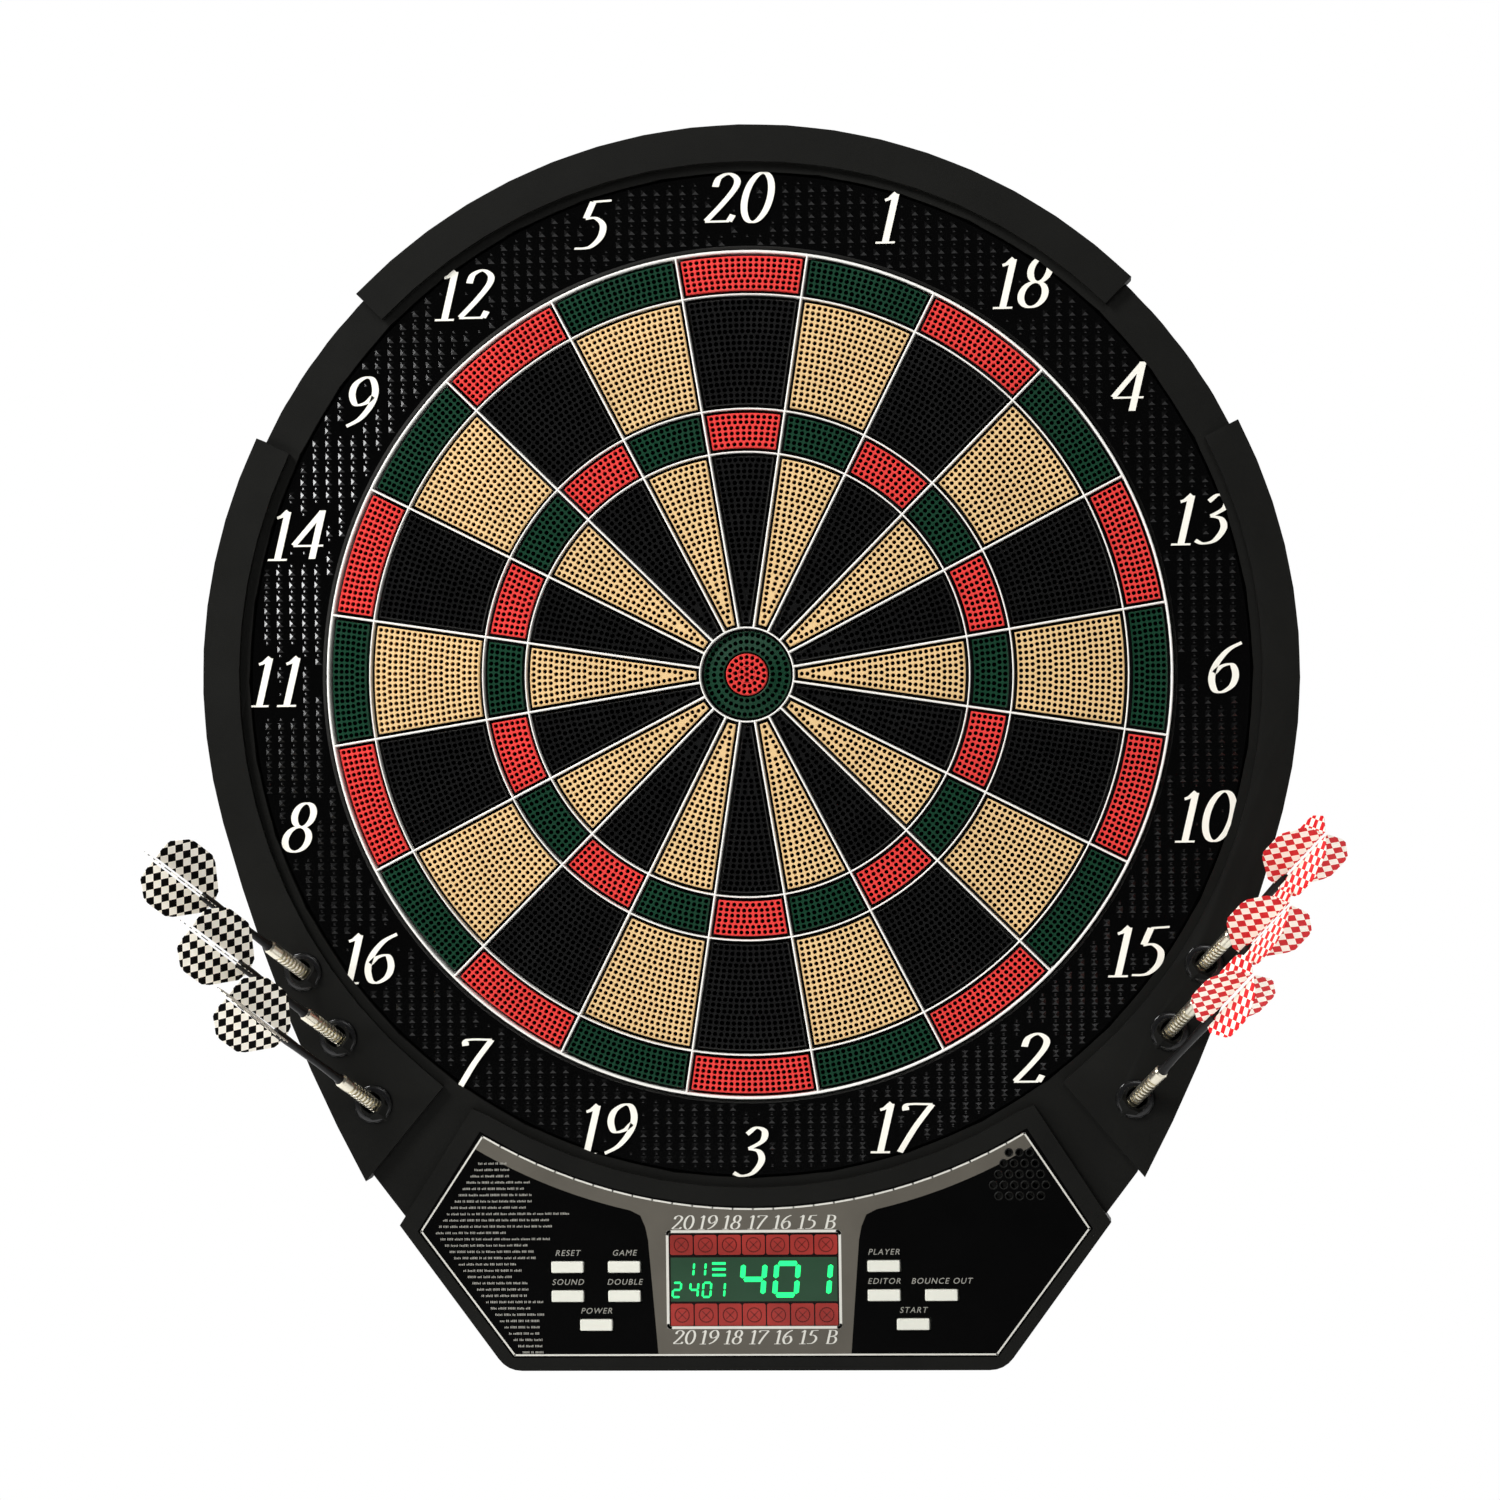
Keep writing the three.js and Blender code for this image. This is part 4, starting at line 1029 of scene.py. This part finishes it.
# Each row of red cells: its height up the board and its cells' height, in millimetres.
CELL_ROWS = ((-264.3, 9.2), (-296.8, 10.6))
CELL_COUNT, CELL_PITCH, CELL_WIDTH = 7, 11.2 * MM, 10.6 * MM
CELL_CORNER = 1.0 * MM
CELL_LINE, CELL_LINE_RISE = 0.5 * MM, 0.02 * MM
CELL_CROSS, CELL_RING = 2.4 * MM, 3.3 * MM
GREEN_FIELD = (77.4 * MM, 20.4 * MM)
# Each group in millimetres: its figures with their left edges, then its bottom, width, height and stroke.
LIT_GROUPS = (
    ((("4", -6), ("0", 9.5), ("1", 24.5)), -287.6, 10, 14.6, 2.4),
    ((("2", -38), ("4", -30), ("0", -24), ("1", -17.6)), -288.4, 3.6, 6.6, 1.0),
    ((("1", -31.4), ("1", -26)), -278.6, 3.2, 6.0, 1.0),
)
DASH_HEIGHTS = (-272.9, -275.6, -278.3)
DASH_MIDDLE = -16.2 * MM
DASH_SIZE = (6.4 * MM, 1.2 * MM, 0.3 * MM)


def lit_figure(sheet, letter, x, z, width, height, stroke, front, rear):
    """A seven-segment figure with its lower left corner at x, z, all in millimetres."""
    gap = stroke * BAR_GAP
    middle = z + height / 2
    bars = {
        "a": (x, z + height, x + width, z + height), "g": (x, middle, x + width, middle),
        "d": (x, z, x + width, z),
        "f": (x, middle, x, z + height), "b": (x + width, middle, x + width, z + height),
        "e": (x, z, x, middle), "c": (x + width, z, x + width, middle),
    }
    for name in SEGMENTS[letter]:
        x0, z0, x1, z1 = bars[name]
        a, b = Vector((x0 * MM, 0, z0 * MM)), Vector((x1 * MM, 0, z1 * MM))
        going = (b - a).normalized()
        across = Vector((-going.z, 0, going.x)) * stroke * MM / 2
        end = going * (stroke / 2 * MM)
        tip = going * gap * MM
        bar = [a + tip, a + end - across, b - end - across, b - tip, b - end + across, a + end + across]
        lean = [p + Vector(((p.z - z * MM) * FIGURE_LEAN, 0, 0)) for p in bar]
        sheet.prism(lean, front, rear)


def make_display():
    front, rear = WINDOW_FRONT - FOIL, WINDOW_FRONT
    red, green, lines = Sheet(), Sheet(), Sheet()
    line_front = front - CELL_LINE_RISE
    for z, height in CELL_ROWS:
        for i in range(CELL_COUNT):
            centre = Vector(((i - (CELL_COUNT - 1) / 2) * CELL_PITCH, 0, z * MM))
            red.prism(box_outline(centre, CELL_WIDTH, height * MM, CELL_CORNER), front, rear)
            for turn in (45, 135):
                tick = polar(CELL_CROSS, math.radians(turn))
                ribbon(lines, [centre - tick, centre + tick], CELL_LINE, line_front, rear)
            ribbon(lines, disc_outline(centre, CELL_RING), CELL_LINE, line_front, rear, closed=True)
    green.prism(box_outline(DISPLAY_CENTRE, *GREEN_FIELD), front, rear)
    settle(red.build("display_red_cells", [LENS_RED]), "display_lens")
    settle(green.build("display_green_field", [LENS_GREEN]), "display_lens")
    settle(lines.build("display_cell_marks", [CELL_MARK]), "display_lens")
    lit = Sheet()
    lit_front = front - FOIL
    for figures, z, width, height, stroke in LIT_GROUPS:
        for letter, x in figures:
            lit_figure(lit, letter, x, z, width, height, stroke, lit_front, rear)
    for z in DASH_HEIGHTS:
        lit.prism(box_outline(Vector((DASH_MIDDLE, 0, z * MM)), *DASH_SIZE), lit_front, rear)
    settle(outward(lit.build("display_lit_figures", [LIT])), "display_lens")


make_print(make_panel())
make_display()


# ---- Dart sockets and darts ----

# Sections in millimetres: a radius, and then a distance back from the cap's face, or along the dart's axis.
RIM_SECTION = [(5.6, 2), (5.6, -1.0), (6.2, -1.55), (7.9, -1.55), (8.7, -1.1), (9.2, 0.1), (9.2, 2)]
TIP_SECTION = [(0, -33), (0.5, -32.4), (1.1, -27), (1.1, -11.2), (2.2, -10)]
SHAFT_SECTION = [(2.6, 25.4), (2.4, 26.4), (2.0, 27.5), (1.7, 40), (1.9, 58), (2.1, 64), (2.0, 72.6),
                 (0, 72.6)]
RIB_SECTION = [(3.05, 0), (3.2, 0.2), (3.2, 1.2), (2.3, 1.45), (2.3, 2.2)]
RIB_COUNT, RIB_START, RIB_PITCH = 11, -7.5, 2.3
# Half a flight's blade: distances out from the dart's axis and along it.
BLADE_CORNERS = [(1.2, 1), (6, 2.5), (15.6, 14), (17.5, 18), (17.5, 30), (16.6, 33.5), (11, 41), (8.5, 42),
                 (1.2, 42)]
FLIGHT_START = 65 * MM
FILM_THICKNESS = 0.35 * MM
CHECK_STEPS = range(-18, 22)


def make_sockets():
    rim = [(radius * MM, CAP_FRONT + back * MM) for radius, back in RIM_SECTION]
    sheet = Sheet()
    for side in (-1, 1):
        for x, z in SOCKET_MOUTHS:
            sheet.turned(rim, Vector((side * x * MM, 0, z * MM)), 48)
    settle(outward(sheet.build("socket_rims", [SOCKET], 35)), "casing_plastic")


def dart_frame(label, side, index):
    """The dart's own axes: Z along it from the socket's mouth, turned by its roll."""
    axis = Vector(JOINTS[f"pull_dart_{label}_{index + 1}"]["axis"]).normalized()
    across = axis.cross(Vector((0, 1, 0))).normalized()
    x, z = SOCKET_MOUTHS[index]
    basis = Matrix((across, axis.cross(across), axis)).transposed().to_4x4()
    turn = Matrix.Rotation(math.radians(FLIGHT_ROLLS[label][index]), 4, "Z")
    return Matrix.Translation((side * x * MM, CAP_FRONT, z * MM)) @ basis @ turn


def lathe(sheet, profile, slot, sides=28):
    """A profile of (radius, distance) points in millimetres, turned about Z."""
    count = len(profile)
    turns = [2 * math.pi * s / sides for s in range(sides)]
    verts = [Vector((r * math.cos(t), r * math.sin(t), d)) * MM for t in turns for r, d in profile]
    faces = [(s * count + i, (s + 1) % sides * count + i, (s + 1) % sides * count + i + 1, s * count + i + 1)
             for s in range(sides) for i in range(count - 1)]
    sheet.add(verts, faces, slot)


def make_dart(label, side, index):
    """A moulded tip, a ribbed barrel and a shaft."""
    sheet = Sheet()
    lathe(sheet, TIP_SECTION, 1)
    starts = [RIB_START + i * RIB_PITCH for i in range(RIB_COUNT)]
    ribs = [(radius, start + along) for start in starts for radius, along in RIB_SECTION]
    lathe(sheet, [(2.2, -10), (3.2, -8.5), *ribs, (3.2, 18.2), (3.2, 24.4), (2.6, 25.4)], 0)
    lathe(sheet, SHAFT_SECTION, 1)
    obj = sheet.build(f"dart_{label}_{index + 1}_turned", [NICKEL, SHAFT], 25)
    outward(obj).data.transform(dart_frame(label, side, index))
    name = f"{label}_{index + 1}"
    settle(obj, "dart_barrel", f"parked_dart_{name}", f"dart_{name}")


def make_flight(label, side, index):
    """Two crossed blades of thin film, each cut along a slanted grid so that its checks are real faces."""
    film = bmesh.new()
    for turn in range(4):
        verts = [film.verts.new((reach * MM, 0, along * MM)) for reach, along in BLADE_CORNERS]
        bmesh.ops.rotate(film, verts=verts, matrix=Matrix.Rotation(turn * math.pi / 2, 3, "Z"))
        film.faces.new(verts)
    for reach, other in ((Vector((1, 0, 0)), Vector((0, 1, 0))), (Vector((0, 1, 0)), Vector((1, 0, 0)))):
        for lean in (1, -1):
            normal = (reach + Vector((0, 0, lean))).normalized()
            for step in CHECK_STEPS:
                blade = [face for face in film.faces if face.normal.cross(other).length < 0.1]
                edges = {edge for face in blade for edge in face.edges}
                corners = {vert for face in blade for vert in face.verts}
                bmesh.ops.bisect_plane(film, geom=[*blade, *edges, *corners], dist=1e-7,
                                       plane_co=normal * step * CHECK_PITCH, plane_no=normal)
    for face in film.faces:
        centre = face.calc_center_median()
        reach = centre.x if abs(centre.x) > abs(centre.y) else centre.y
        a = math.floor((reach + centre.z) / math.sqrt(2) / CHECK_PITCH)
        b = math.floor((reach - centre.z) / math.sqrt(2) / CHECK_PITCH)
        face.material_index = (a + b) % 2
    mesh = bpy.data.meshes.new(f"flight_{label}_{index + 1}_film")
    film.to_mesh(mesh)
    film.free()
    for material in (CHECK_WHITE, CHECK_BLACK if side < 0 else CHECK_RED):
        mesh.materials.append(material)
    mesh.transform(dart_frame(label, side, index) @ Matrix.Translation((0, 0, FLIGHT_START)))
    obj = placed(mesh.name, mesh)
    skin = obj.modifiers.new("film", "SOLIDIFY")
    skin.thickness = FILM_THICKNESS
    skin.offset = 0
    name = f"{label}_{index + 1}"
    slot = "flight_black_white" if side < 0 else "flight_red_white"
    settle(obj, slot, f"parked_dart_{name}", f"flight_{name}")


make_sockets()
for label_name, side_sign in (("left", -1), ("right", 1)):
    for dart in range(3):
        make_dart(label_name, side_sign, dart)
        make_flight(label_name, side_sign, dart)


# ---- Back ----

SCREW_WELL = (4.4 * MM, 1.1 * MM)
GROOVE_DEPTH, VENT_DEPTH = 0.7 * MM, 2 * MM
VENT_CORNER = 1.1 * MM
ABOVE_BACK = 1 * MM
BACK_GROOVES = [(223 * MM, 1.4 * MM), (150 * MM, 1.4 * MM)]
VENTS = [(92 + 5.5 * i, -232, 2.4, 26 - 1.5 * abs(i - 5)) for i in range(11)]


def screw_centres():
    return [Vector((x * side * MM, 0, z * MM)) for x, z in SCREW_PLACES for side in ((1, -1) if x else (1,))]


def detail_back(cover):
    """Cuts the screws' wells, two moulded grooves and the speaker's vents into the rear cover."""
    cutter = Sheet()
    radius, depth = SCREW_WELL
    for centre in screw_centres():
        well = [centre + polar(radius, 2 * math.pi * i / 28) for i in range(28)]
        cutter.prism(well, -depth, ABOVE_BACK)
    for radius, width in BACK_GROOVES:
        low, high, far = -GROOVE_DEPTH, ABOVE_BACK, radius + width
        cutter.turned([(radius, low), (far, low), (far, high), (radius, high)])
    for x, z, width, height in VENTS:
        slot = box_outline(Vector((x * MM, 0, z * MM)), width * MM, height * MM, VENT_CORNER)
        cutter.prism(slot, -VENT_DEPTH, ABOVE_BACK)
    carve(cover, outward(cutter.build("back_cutter", [REAR])))
    shade(cover.data, 20)
    flatten_normals(cover)


def make_screws():
    """Cross-head screws at the bottom of their wells."""
    sheet = Sheet()
    head, arm = 3.1 * MM, 0.3 * MM
    for centre in screw_centres():
        sheet.turned([(0, -1.6 * MM), (head, -1.6 * MM), (head, -0.75 * MM), (head * 0.7, -0.4 * MM),
                      (0, -0.3 * MM)], centre, 24, closed=False)
        # The cross is a dark shape standing just proud of the head: painted shade in place of a recess.
        for a, b in ((1.7 * MM, arm), (arm, 1.7 * MM)):
            cross = [centre + Vector((i * a, 0, j * b)) for i, j in ((-1, -1), (1, -1), (1, 1), (-1, 1))]
            sheet.prism(cross, -0.6 * MM, -0.26 * MM, 1)
    settle(outward(sheet.build("casing_screws", [SCREW, DARK], 30)), "screw_steel")


detail_back(REAR_COVER)
make_screws()
